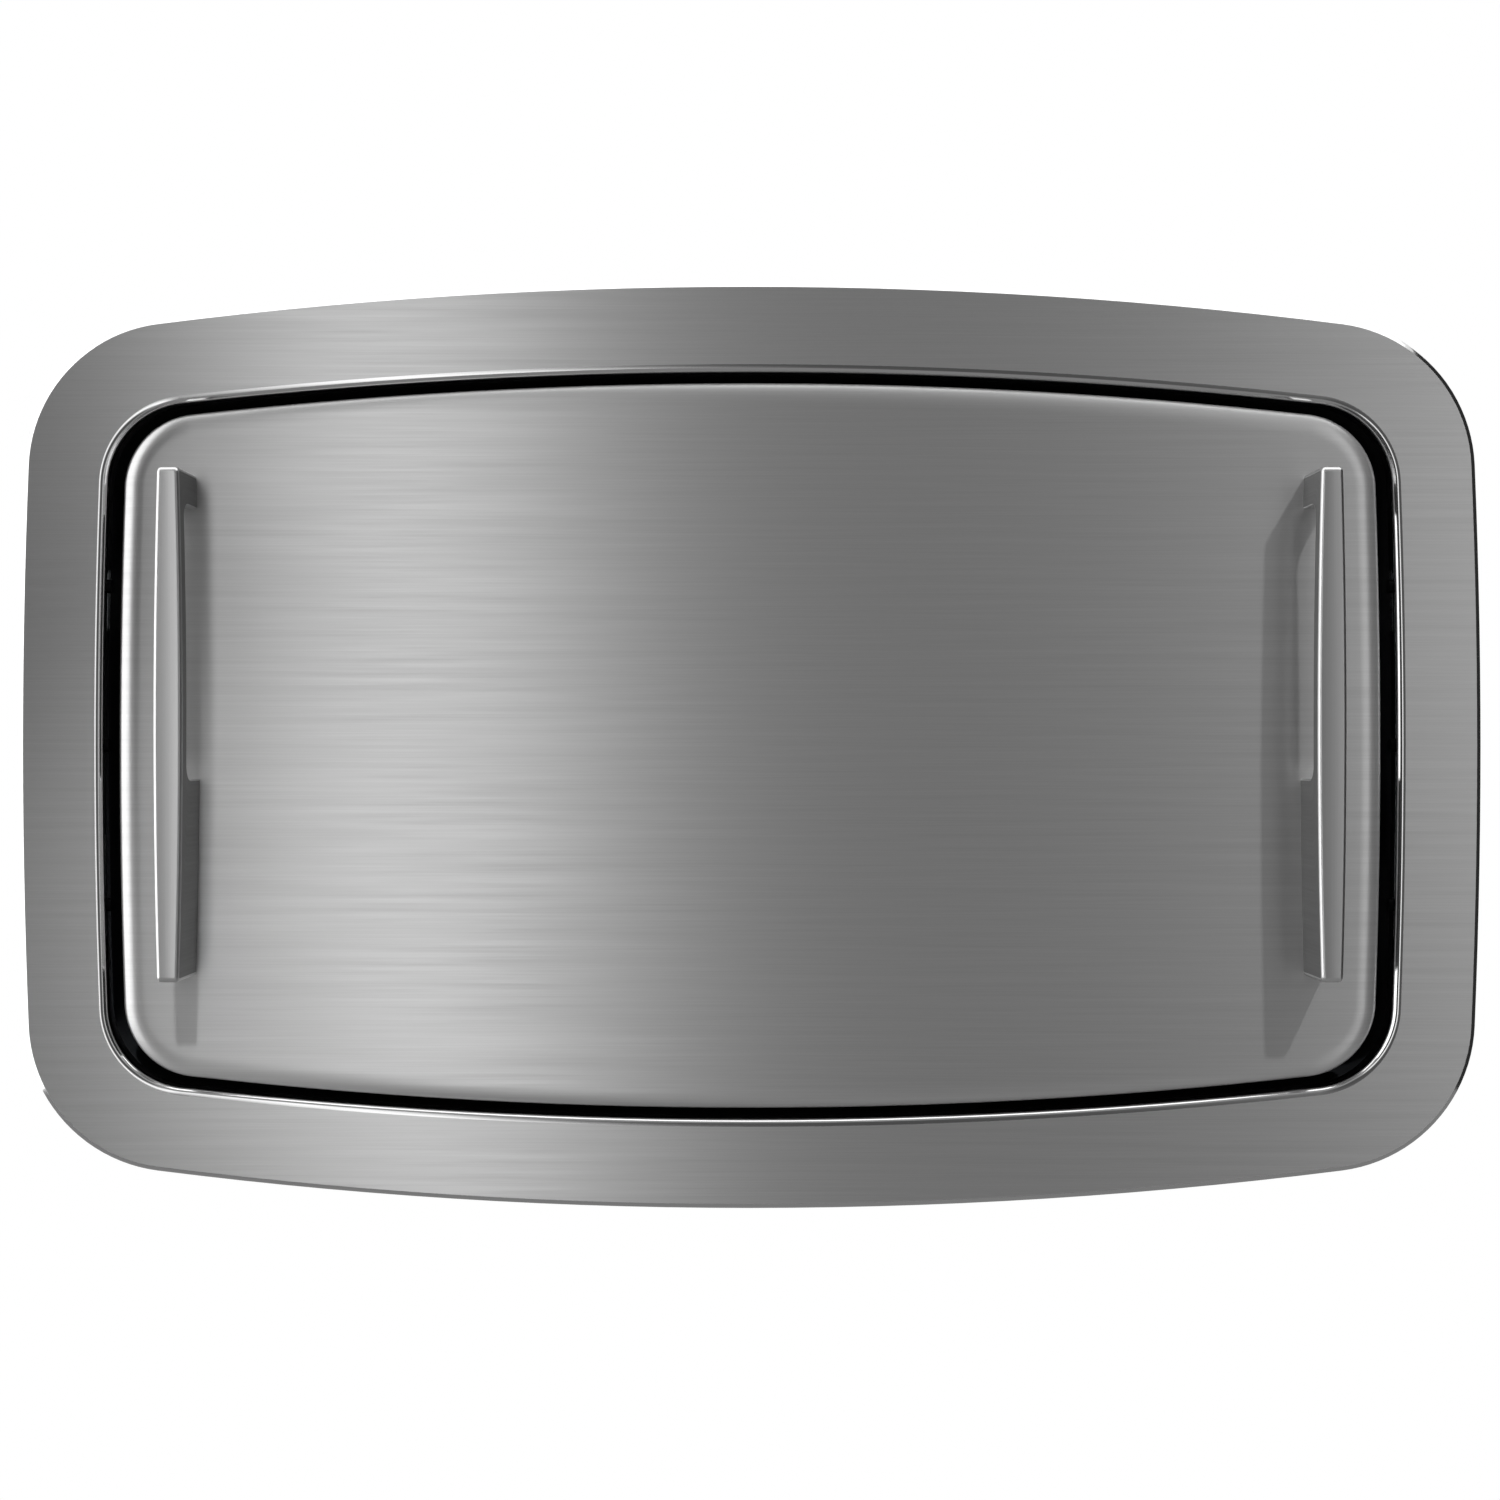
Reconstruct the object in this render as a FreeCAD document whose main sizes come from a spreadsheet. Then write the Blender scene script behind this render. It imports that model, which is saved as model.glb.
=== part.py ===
import FreeCAD, Part
import math
import os
import re
import Sketcher

# Recessed baby changing station, closed.
# X runs to the right, Y into the wall and Z up; the origin is the middle of the
# opening on the finished wall plane, so everything in front of the wall has Y below 0.
# All lengths are millimetres.

doc = FreeCAD.newDocument("changing_station")
sheet = doc.addObject("Spreadsheet::Sheet", "Sizes")
aliases = []


def add_cell(alias, content):
    """Write one named cell of the size sheet."""
    row = len(aliases) + 1
    sheet.set("A%d" % row, alias)
    sheet.set("B%d" % row, str(content))
    sheet.setAlias("B%d" % row, alias)
    aliases.append(alias)


driving_sizes = {
    # Flange frame: formed steel ring on the wall.
    "frame_face_width": 55.0,
    "frame_face_height": 59.0,
    "frame_bow_radius": 3090.0,
    "frame_side_radius": 4470.0,
    "frame_corner_radius": 100.0,
    "frame_proud": 4.5,
    "frame_sheet": 1.5,
    "frame_bevel": 2.4,
    "frame_rim_round": 3.2,
    "frame_collar_depth": 10.0,
    # Opening inside the flange.
    "mouth_half_width": 425.0,
    "mouth_half_height": 245.0,
    "mouth_bow_radius": 3390.0,
    "mouth_side_radius": 4650.0,
    "mouth_corner_radius": 54.0,
    # Moulded box in the wall.
    "box_play": 0.5,
    "box_wall": 4.0,
    "box_depth": 96.0,
    "lip_width": 34.0,
    "box_floor_round": 3.0,
    "rib_height": 4.0,
    "rib_thickness": 6.0,
    "rib_pitch": 140.0,
    "rib_end_height": 51.0,
    "rib_end_width": 81.0,
    "bolt_spacing_x": 406.4,
    "bolt_spacing_z": 300.0,
    "bolt_hole_radius": 4.5,
    "bolt_boss_radius": 16.0,
    # Steel door skin.
    "door_side_gap": 10.0,
    "door_end_gap": 6.4,
    "door_bow_radius": 3290.0,
    "door_side_radius": 4600.0,
    "door_corner_radius": 50.0,
    "door_proud": 4.0,
    "door_sheet": 1.2,
    "door_roll_radius": 11.4,
    "door_depth": 12.0,
    # Moulded bed tray behind the door skin.
    "tray_edge_inset": 20.0,
    "tray_bottom_gap": 22.0,
    "tray_rim_gap": 5.0,
    "tray_wall": 4.0,
    "tray_side_radius": 60000.0,
    "basin_rim_width": 34.0,
    "basin_depth": 40.0,
    "basin_draft": 25.0,
    "basin_top_drop": 20.0,
    "basin_corner_radius": 46.0,
    "basin_floor_round": 14.0,
    "rim_edge_round": 5.0,
    # Hinge line and its pieces.
    "hinge_y": 12.0,
    "hinge_rise": 55.0,
    "hinge_inset": 95.0,
    "rod_radius": 5.0,
    "rod_overhang": 10.0,
    "running_play": 0.05,
    "ring_thickness": 1.5,
    "ring_radius": 8.0,
    "arm_thickness": 5.0,
    "arm_gap": 16.0,
    "arm_boss_radius": 9.0,
    "arm_below": 2.0,
    "arm_above": 15.0,
    "bracket_base": 4.0,
    "bracket_half_width": 34.0,
    "bracket_below": 14.0,
    "bracket_above": 36.0,
    "stop_near": 14.5,
    "stop_far": 26.0,
    "stop_play": 0.3,
    "ear_thickness": 10.0,
    "ear_boss_radius": 10.0,
    "ear_web_half": 8.0,
    "ear_foot": 3.0,
    "ear_foot_half_width": 28.0,
    "ear_foot_front": 12.0,
    "ear_foot_back": 28.0,
    "lug_length": 20.0,
    "lug_half": 4.0,
    "bush_wall": 2.0,
    "bush_end_play": 0.5,
    # Handles on the door.
    "handle_edge_inset": 54.0,
    "handle_width": 18.5,
    "handle_end_width": 13.7,
    "handle_top_inset": 61.1,
    "handle_bottom_inset": 87.6,
    "handle_stand": 41.0,
    "handle_bar": 12.0,
    "upper_foot": 22.5,
    "lower_foot": 129.0,
    "grip_round": 9.0,
    "handle_end_round": 4.0,
    "handle_edge_round": 2.6,
    "backing_plate": 3.0,
    "backing_half_width": 12.0,
    # Screws.
    "screw_radius": 2.5,
    "screw_play": 0.05,
    "screw_head_radius": 4.5,
    "screw_head": 2.6,
    "screw_grip": 18.0,
    "screw_edge": 11.0,
    # Gas struts beside the tray.
    "strut_inset": 16.0,
    "strut_eye_radius": 8.0,
    "strut_eye": 8.0,
    "strut_pin_radius": 4.0,
    "strut_tube_radius": 7.5,
    "strut_tube_wall": 1.2,
    "strut_tube_start": 6.0,
    "strut_tube_end": 165.0,
    "strut_guide": 8.0,
    "strut_rod_radius": 3.5,
    "strut_piston": 10.0,
    "strut_piston_at": 34.0,
    "strut_bore_start": 22.0,
    "strut_end_play": 0.5,
    "anchor_standoff": 17.0,
    "anchor_rise": 290.0,
    "anchor_plate": 4.0,
    "anchor_half_height": 20.0,
    "anchor_reach": 15.0,
    "anchor_base_length": 26.0,
    "anchor_side_play": 1.0,
    "stud_dy": 10.0,
    "stud_dz": 55.0,
    "stud_flange": 3.0,
    "stud_flange_radius": 9.0,
    "stud_nut": 4.0,
    "stud_nut_radius": 7.0,
    # Liner compartment on the back of the box.
    "liner_half_width": 140.0,
    "liner_drop": 144.6,
    "liner_height": 130.0,
    "liner_depth": 25.0,
    "liner_wall": 2.5,
    "liner_rail": 7.0,
    "cover_sheet": 2.4,
    "cover_play": 0.3,
    "cover_front_wall": 2.0,
    "cover_bite": 3.5,
    "cover_slot": 16.0,
    "cover_pull": 3.0,
    "cover_pull_half": 34.0,
    "cover_pull_height": 8.0,
    # Safety strap and its cam buckle.
    "strap_width": 38.0,
    "strap_thickness": 1.5,
    "strap_top_inset": 46.6,
    "strap_bottom_inset": 44.0,
    "strap_tail_inset": 28.0,
    "anchor_cap_length": 18.0,
    "anchor_cap_width": 52.0,
    "anchor_cap": 5.0,
    "buckle_length": 34.0,
    "buckle_sheet": 2.0,
    "buckle_cheek": 2.5,
    "buckle_cheek_height": 11.0,
    "buckle_side_play": 1.0,
    "buckle_pin_radius": 2.0,
    "buckle_pin_rise": 6.6,
    "lever_barrel_radius": 4.2,
    "lever_length": 32.0,
    "lever_sheet": 2.5,
    "strap_lift_run": 8.0,
    "lay_gap": 0.1,
    # Rubber bumpers behind the tray rim.
    "bumper_radius": 8.0,
    "bumper_play": 0.3,
    "bumper_side_inset": 17.0,
    "bumper_top_inset": 68.6,
    "bumper_bottom_inset": 48.0,
    # Small screws of the flange collar.
    "collar_screw_y": 5.0,
    "collar_screw_pitch": 105.0,
    # One overrun for every through cut.
    "overrun": 6.0,
}

for alias, length in driving_sizes.items():
    add_cell(alias, length)

OUTLINE_FIELDS = ("half_width", "half_height", "bow_radius", "side_radius", "corner_radius")


def add_offset_outline(name, source, offset):
    """Name an outline that runs parallel to another one, the offset outside it."""
    for field in OUTLINE_FIELDS:
        add_cell("%s_%s" % (name, field), "=%s_%s + (%s)" % (source, field, offset))


add_cell("frame_half_width", "=mouth_half_width + frame_face_width")
add_cell("frame_half_height", "=mouth_half_height + frame_face_height")
add_cell("door_half_width", "=mouth_half_width - door_side_gap")
add_cell("door_half_height", "=mouth_half_height - door_end_gap")
add_offset_outline("return", "frame", "-frame_sheet")
add_offset_outline("collar", "mouth", "frame_sheet")
add_offset_outline("cavity", "mouth", "frame_sheet + box_play")
add_offset_outline("shell", "mouth", "frame_sheet + box_play + box_wall")
add_offset_outline("lip", "mouth", "frame_sheet + box_play + lip_width")
for field in ("half_width", "half_height", "bow_radius", "corner_radius"):
    add_cell("tray_" + field, "=door_%s - tray_edge_inset" % field)
    add_cell("hollow_" + field, "=tray_%s - tray_wall" % field)
add_cell("hollow_side_radius", "=tray_side_radius - tray_wall")
add_cell("frame_front_y", "=-frame_proud")
add_cell("door_front_y", "=-door_proud")
add_cell("door_edge_y", "=door_depth - door_proud")
add_cell("skin_back_y", "=door_sheet - door_proud")
add_cell("box_floor_y", "=box_depth - box_wall")
add_cell("rib_half_height", "=shell_half_height - rib_end_height")
add_cell("rib_half_width", "=shell_half_width - rib_end_width")
add_cell("frame_back_y", "=frame_sheet - frame_proud")
add_cell("hinge_z", "=hinge_rise - mouth_half_height")
add_cell("hinge_pitch", "=tray_half_width - hinge_inset")
add_cell("tray_rim_y", "=box_floor_y - liner_depth - tray_rim_gap")
add_cell("tray_bottom", "=hinge_z + tray_bottom_gap")
add_cell("basin_floor_y", "=tray_rim_y - basin_depth")
add_cell("basin_half_width", "=tray_half_width - basin_rim_width")
add_cell("basin_top", "=tray_half_height - basin_rim_width - basin_top_drop")
add_cell("basin_bottom", "=tray_bottom + basin_rim_width")
add_cell("hollow_front_y", "=skin_back_y - overrun")
add_cell("hollow_rim_y", "=tray_rim_y - tray_wall")
add_cell("hollow_bottom", "=tray_bottom + tray_wall")
add_cell("hollow_floor_y", "=basin_floor_y - tray_wall")
add_cell("handle_x", "=door_half_width - handle_edge_inset + handle_width / 2")
add_cell("handle_top", "=door_half_height - handle_top_inset")
add_cell("handle_bottom", "=handle_bottom_inset - door_half_height")
add_cell("grip_top", "=handle_top - upper_foot")
add_cell("grip_bottom", "=handle_bottom + lower_foot")
add_cell("handle_front_y", "=-door_proud - handle_stand")
add_cell("handle_half_length", "=(handle_top - handle_bottom) / 2")
add_cell("handle_middle", "=(handle_top + handle_bottom) / 2")
add_cell("arm_outer", "=arm_gap / 2 + arm_thickness")
add_cell("rod_length", "=2 * (hinge_pitch + arm_outer + rod_overhang)")
add_cell("bush_radius", "=rod_radius + running_play + bush_wall")
add_cell("screw_hole_radius", "=screw_radius + screw_play")
add_cell("strut_x", "=mouth_half_width - strut_inset")
add_cell("anchor_y", "=box_floor_y - anchor_standoff")
add_cell("anchor_z", "=hinge_z + anchor_rise")
add_cell("stud_y", "=hinge_y + stud_dy")
add_cell("stud_z", "=hinge_z + stud_dz")
add_cell("stud_wall_x", "=tray_half_width - tray_side_radius + sqrt(tray_side_radius^2 - stud_z^2)")
add_cell("closed_length", "=sqrt((anchor_y - stud_y)^2 + (anchor_z - stud_z)^2)")
add_cell("closed_angle", "=atan2(anchor_y - stud_y; anchor_z - stud_z) / 1deg")
add_cell("open_y", "=hinge_y - stud_dz")
add_cell("open_z", "=hinge_z + stud_dy")
add_cell("open_length", "=sqrt((anchor_y - open_y)^2 + (anchor_z - open_z)^2)")
add_cell("open_angle", "=atan2(anchor_y - open_y; anchor_z - open_z) / 1deg")
add_cell("anchor_plate_x", "=strut_x + strut_eye_radius + anchor_side_play")
add_cell("liner_front_y", "=box_floor_y - liner_depth")
add_cell("liner_bottom", "=basin_top - liner_drop")
add_cell("bumper_x", "=tray_half_width - bumper_side_inset")
add_cell("bumper_top", "=tray_half_height - bumper_top_inset")
add_cell("bumper_bottom", "=tray_bottom + bumper_bottom_inset")
add_cell("cover_y", "=liner_front_y + cover_front_wall + cover_play")
add_cell("strap_y", "=basin_floor_y")
add_cell("strap_top", "=basin_top - strap_top_inset")
add_cell("strap_bottom", "=basin_bottom + strap_bottom_inset")
add_cell("strap_tail", "=strap_bottom + strap_tail_inset")
add_cell("buckle_y", "=strap_y + strap_thickness + lay_gap")
add_cell("over_y", "=buckle_y + buckle_sheet + lay_gap")
add_cell("tail_y", "=strap_y + strap_thickness + lay_gap")
add_cell("buckle_inner_half", "=strap_width / 2 + buckle_side_play")
add_cell("buckle_half_width", "=buckle_inner_half + buckle_cheek")
add_cell("pin_y", "=over_y + buckle_pin_rise")
doc.recompute()

alias_words = re.compile(r"[a-z_]+")


def value(alias):
    """The number that a named cell holds now."""
    return float(sheet.get(alias))


def in_sheet_words(formula):
    """The formula with each named size written as a cell of the size sheet."""
    def point_to_sheet(match):
        word = match.group(0)
        return "Sizes." + word if word in aliases else word
    return alias_words.sub(point_to_sheet, formula)


def bind(thing, path, formula):
    """Tie a property to a formula of named sizes."""
    thing.setExpression(path, in_sheet_words(formula))


# Helpers for bodies, sketches and features

pieces = {}


def new_body(label):
    """An empty body that becomes the sub-part of that name."""
    return keep(label, doc.addObject("PartDesign::Body", "Body_" + label))


def new_sketch(body, name, role, offset):
    """A sketch on one of the body's own planes, moved along the plane's normal."""
    sketch = body.newObject("Sketcher::SketchObject", name)
    planes = [plane for plane in body.Origin.OriginFeatures if plane.Role == role]
    sketch.AttachmentSupport = [(planes[0], "")]
    sketch.MapMode = "FlatFace"
    bind(sketch, "AttachmentOffset.Base.z", offset)
    return sketch


def wall_sketch(body, name, depth):
    """A sketch parallel to the wall, at the given Y."""
    return new_sketch(body, name, "XZ_Plane", "-(%s)" % depth)


def side_sketch(body, name, across):
    """A sketch square to X, at the given X."""
    return new_sketch(body, name, "YZ_Plane", across)


def set_size(sketch, index, formula):
    """Tie one constraint of a sketch to named sizes."""
    bind(sketch, "Constraints[%d]" % index, formula)


def draw_outline(sketch, name):
    """A rectangle with bowed sides and round corners: eight arcs, each tangent to the next."""
    half_width, half_height, bow, side, corner = [value("%s_%s" % (name, field)) for field in OUTLINE_FIELDS]
    bow_centre = half_height - bow
    side_centre = half_width - side
    # The corner's centre lies bow - corner from one centre and side - corner from the other.
    span = math.hypot(side_centre, bow_centre)
    along = ((bow - corner) ** 2 - (side - corner) ** 2 + span ** 2) / (2 * span)
    aside = math.sqrt((bow - corner) ** 2 - along ** 2)
    away = (side_centre / span, -bow_centre / span)
    corner_x = along * away[0] + aside * away[1]
    corner_z = bow_centre + along * away[1] - aside * away[0]
    tilt = math.atan2(corner_x, corner_z - bow_centre)
    swing = math.atan2(corner_z, corner_x - side_centre)
    quarter = math.pi / 2
    arcs = [
        (side_centre, 0, side, -swing, swing),
        (corner_x, corner_z, corner, swing, quarter - tilt),
        (0, bow_centre, bow, quarter - tilt, quarter + tilt),
        (-corner_x, corner_z, corner, quarter + tilt, math.pi - swing),
        (-side_centre, 0, side, math.pi - swing, math.pi + swing),
        (-corner_x, -corner_z, corner, math.pi + swing, 3 * quarter - tilt),
        (0, -bow_centre, bow, 3 * quarter - tilt, 3 * quarter + tilt),
        (corner_x, -corner_z, corner, 3 * quarter + tilt, 4 * quarter - swing),
    ]
    first = sketch.GeometryCount
    for x, z, radius, start, end in arcs:
        circle = Part.Circle(FreeCAD.Vector(x, z, 0), FreeCAD.Vector(0, 0, 1), radius)
        sketch.addGeometry(Part.ArcOfCircle(circle, start, end), False)
    count = len(arcs)
    for step in range(count):
        follower = first + (step + 1) % count
        sketch.addConstraint(Sketcher.Constraint("Tangent", first + step, 2, follower, 1))
    radius_formulas = ["side", "corner", "bow", "corner", "side", "corner", "bow", "corner"]
    for step, field in enumerate(radius_formulas):
        index = sketch.addConstraint(Sketcher.Constraint("Radius", first + step, arcs[step][2]))
        set_size(sketch, index, "%s_%s_radius" % (name, field))
    bow_formula = "%s_half_height - %s_bow_radius" % (name, name)
    side_formula = "%s_half_width - %s_side_radius" % (name, name)
    centres = [
        (first, side_formula, "0"),
        (first + 2, "0", bow_formula),
        (first + 4, "-(%s)" % side_formula, "0"),
        (first + 6, "0", "-(%s)" % bow_formula),
    ]
    for index, x_formula, z_formula in centres:
        pin_point(sketch, index, 3, x_formula, z_formula, arcs[index - first][0], arcs[index - first][1])


def pin_point(sketch, geometry, position, x_formula, y_formula, x_now, y_now):
    """Tie a point of a sketch to two formulas, measured from the sketch's origin."""
    across = Sketcher.Constraint("DistanceX", -1, 1, geometry, position, x_now)
    set_size(sketch, sketch.addConstraint(across), x_formula)
    upward = Sketcher.Constraint("DistanceY", -1, 1, geometry, position, y_now)
    set_size(sketch, sketch.addConstraint(upward), y_formula)


scratch_sheet = doc.addObject("Spreadsheet::Sheet", "Scratch")


def measure(formulas):
    """The numbers that formulas of named sizes give now, by way of a scratch sheet."""
    results = []
    for formula in formulas:
        scratch_sheet.set("A1", "=" + in_sheet_words(formula))
        scratch_sheet.recompute()
        results.append(float(scratch_sheet.get("A1")))
    return results


def draw_polygon(sketch, corners):
    """A closed outline of straight lines, each corner tied to a pair of formulas."""
    places = [measure(corner) for corner in corners]
    first = sketch.GeometryCount
    count = len(corners)
    for step in range(count):
        here = FreeCAD.Vector(*places[step], 0)
        there = FreeCAD.Vector(*places[(step + 1) % count], 0)
        sketch.addGeometry(Part.LineSegment(here, there), False)
    for step in range(count):
        follower = first + (step + 1) % count
        sketch.addConstraint(Sketcher.Constraint("Coincident", first + step, 2, follower, 1))
    for step in range(count):
        pin_point(sketch, first + step, 1, *corners[step], *places[step])


def draw_rectangle(sketch, low_x, low_y, high_x, high_y):
    """A rectangle between two opposite corners."""
    draw_polygon(sketch, [(low_x, low_y), (high_x, low_y), (high_x, high_y), (low_x, high_y)])


def draw_circle(sketch, x, y, radius):
    """A circle whose centre and radius are formulas."""
    x_now, y_now, radius_now = measure([x, y, radius])
    centre = FreeCAD.Vector(x_now, y_now, 0)
    index = sketch.addGeometry(Part.Circle(centre, FreeCAD.Vector(0, 0, 1), radius_now), False)
    set_size(sketch, sketch.addConstraint(Sketcher.Constraint("Radius", index, radius_now)), radius)
    pin_point(sketch, index, 3, x, y, x_now, y_now)


def add_feature(body, kind, sketch, length, reverse=False, both_ways=False):
    """A pad or pocket of a sketch; a pad grows and a pocket must shrink the solid."""
    before = body.Shape.Volume if not body.Shape.isNull() else 0
    feature = body.newObject("PartDesign::" + kind, kind + "_" + sketch.Name)
    feature.Profile = sketch
    bind(feature, "Length", length)
    feature.Reversed = reverse
    feature.Midplane = both_ways
    doc.recompute()
    grew = body.Shape.Volume - before
    if (kind == "Pad" and grew <= 0) or (kind == "Pocket" and grew >= 0):
        raise RuntimeError("%s of %s changed nothing" % (kind, sketch.Name))
    return feature


def pad_back(body, sketch, length):
    """Pad a wall sketch into the wall, towards +Y."""
    return add_feature(body, "Pad", sketch, length, reverse=True)


def pocket_back(body, sketch, length):
    """Cut a wall sketch into the wall, towards +Y."""
    return add_feature(body, "Pocket", sketch, length)


def dress_edges(body, kind, label, size, choose):
    """Round or bevel the edges that a test picks."""
    doc.recompute()
    base = body.Tip
    names = ["Edge%d" % (n + 1) for n, edge in enumerate(base.Shape.Edges) if choose(edge)]
    feature = body.newObject("PartDesign::" + kind, label)
    feature.Base = (base, names)
    bind(feature, "Radius" if kind == "Fillet" else "Size", size)
    doc.recompute()
    return feature


SAME_PLACE = 1e-4


def middle_of(edge):
    """The point halfway along an edge."""
    return edge.valueAt((edge.FirstParameter + edge.LastParameter) / 2)


def flat_at(edge, alias):
    """Whether both ends and the middle of an edge lie at that Y."""
    points = [vertex.Point for vertex in edge.Vertexes] + [middle_of(edge)]
    return all(abs(point.y - value(alias)) < SAME_PLACE for point in points)


def box(name, x, y, z, length, width, height):
    """A plain block from its low corner and its three sizes."""
    block = doc.addObject("Part::Box", name)
    for path, formula in zip(("Placement.Base.x", "Placement.Base.y", "Placement.Base.z"), (x, y, z)):
        bind(block, path, formula)
    for path, formula in zip(("Length", "Width", "Height"), (length, width, height)):
        bind(block, path, formula)
    return block


TURNS = {"x": FreeCAD.Rotation(FreeCAD.Vector(0, 1, 0), 90),
         "y": FreeCAD.Rotation(FreeCAD.Vector(1, 0, 0), -90),
         "z": FreeCAD.Rotation()}


def cylinder(name, axis, x, y, z, radius, height):
    """A round bar that starts at a point and runs along one axis."""
    bar = doc.addObject("Part::Cylinder", name)
    bar.Placement = FreeCAD.Placement(FreeCAD.Vector(), TURNS[axis])
    for path, formula in zip(("Placement.Base.x", "Placement.Base.y", "Placement.Base.z"), (x, y, z)):
        bind(bar, path, formula)
    bind(bar, "Radius", radius)
    bind(bar, "Height", height)
    return bar


def fuse(name, shapes):
    """One solid made of several that meet."""
    joined = doc.addObject("Part::MultiFuse", name)
    joined.Shapes = shapes
    joined.Refine = True
    return joined


def cut(name, base, tools):
    """A solid less all the tools."""
    tool = tools[0] if len(tools) == 1 else fuse(name + "_tools", tools)
    result = doc.addObject("Part::Cut", name)
    result.Base = base
    result.Tool = tool
    return result


def group(name, shapes):
    """Separate solids that share one node."""
    bundle = doc.addObject("Part::Compound", name)
    bundle.Links = shapes
    return bundle


def keep(label, result):
    """Make a finished object the sub-part of that name."""
    result.Label = label
    pieces[label] = result
    return result


def screw(name, axis, x, y, z, head_back, shank):
    """A pan head screw: the shank runs along the axis from the point, the head lies before it."""
    reach = {"x": (1, 0, 0), "y": (0, 1, 0), "z": (0, 0, 1)}[axis]
    starts = ["%s - %d * (%s)" % (place, step, head_back) for place, step in zip((x, y, z), reach)]
    head = cylinder(name + "_head", axis, *starts, "screw_head_radius", head_back)
    bar = cylinder(name + "_shank", axis, x, y, z, "screw_radius", shank)
    return fuse(name, [head, bar])


SIDES = {"left": -1, "right": 1}
STATIONS = {"left": -1, "middle": 0, "right": 1}


# Pieces of the wall box, which stays still


def on_outline(edge, name):
    """Whether an edge is one of an outline's arcs, told by its radius."""
    radii = [value("%s_%s_radius" % (name, field)) for field in ("bow", "side", "corner")]
    return any(abs(edge.Curve.Radius - radius) < SAME_PLACE for radius in radii)


def make_flange():
    """Steel ring on the wall: a face with a bevel and a return to the wall outside."""
    body = new_body("flange_frame")
    plate = wall_sketch(body, "frame_plate", "frame_front_y")
    draw_outline(plate, "frame")
    pad_back(body, plate, "frame_proud")
    hollow = wall_sketch(body, "frame_hollow", "frame_back_y")
    draw_outline(hollow, "return")
    pocket_back(body, hollow, "overrun - frame_back_y")
    opening = wall_sketch(body, "frame_opening", "frame_front_y - overrun")
    draw_outline(opening, "shell")
    pocket_back(body, opening, "frame_proud + 2 * overrun")
    dress_edges(body, "Chamfer", "frame_edge_bevel", "frame_bevel",
                lambda edge: flat_at(edge, "frame_front_y") and on_outline(edge, "frame"))


def make_frame_collar():
    """Rolled steel collar, welded flush into the flange: it lines the mouth and screws to the box."""
    body = new_body("frame_collar")
    rim = wall_sketch(body, "collar_rim", "frame_front_y")
    draw_outline(rim, "shell")
    pad_back(body, rim, "frame_sheet")
    tube = wall_sketch(body, "collar_tube", "frame_back_y")
    draw_outline(tube, "collar")
    pad_back(body, tube, "frame_collar_depth - frame_back_y")
    mouth = wall_sketch(body, "collar_mouth", "frame_front_y - overrun")
    draw_outline(mouth, "mouth")
    pocket_back(body, mouth, "frame_proud + frame_collar_depth + 2 * overrun")
    screws = side_sketch(body, "collar_screw_holes", "0")
    for step in (-1, 0, 1):
        draw_circle(screws, "collar_screw_y", "%d * collar_screw_pitch" % step, "screw_hole_radius")
    add_feature(body, "Pocket", screws, "2 * (mouth_half_width + box_wall + overrun)", both_ways=True)
    dress_edges(body, "Fillet", "collar_rim_roll", "frame_rim_round",
                lambda edge: flat_at(edge, "frame_front_y") and on_outline(edge, "mouth"))


make_flange()
make_frame_collar()


BRACKET_SCREWS = [(across, up) for across in (-1, 1) for up in (0, 1)]
RIBS_ACROSS = (-2, -1, 0, 1, 2)
UP_AND_DOWN = (-1, 1)


def bracket_screw_places():
    """X and Z formulas of the screws that hold brackets and compartment to the box floor."""
    places = []
    for step in STATIONS.values():
        for across, up in BRACKET_SCREWS:
            x = "%d * hinge_pitch + %d * (bracket_half_width - screw_edge)" % (step, across)
            low = "hinge_z - bracket_below + screw_edge"
            high = "hinge_z + bracket_above - screw_edge"
            places.append((x, high if up else low, "bracket_base"))
    for side in SIDES.values():
        for up in UP_AND_DOWN:
            x = "%d * (anchor_plate_x + anchor_plate - anchor_base_length + screw_edge / 2)" % side
            places.append((x, "anchor_z + %d * (anchor_half_height - screw_edge / 2 - lay_gap)" % up,
                           "anchor_plate"))
    for across in UP_AND_DOWN:
        for up in UP_AND_DOWN:
            x = "%d * (liner_half_width - liner_rail - 2 * screw_edge)" % across
            z = "liner_bottom + liner_height / 2 + %d * (liner_height / 2 - 2 * screw_edge)" % up
            places.append((x, z, "liner_wall"))
    return places


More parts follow.
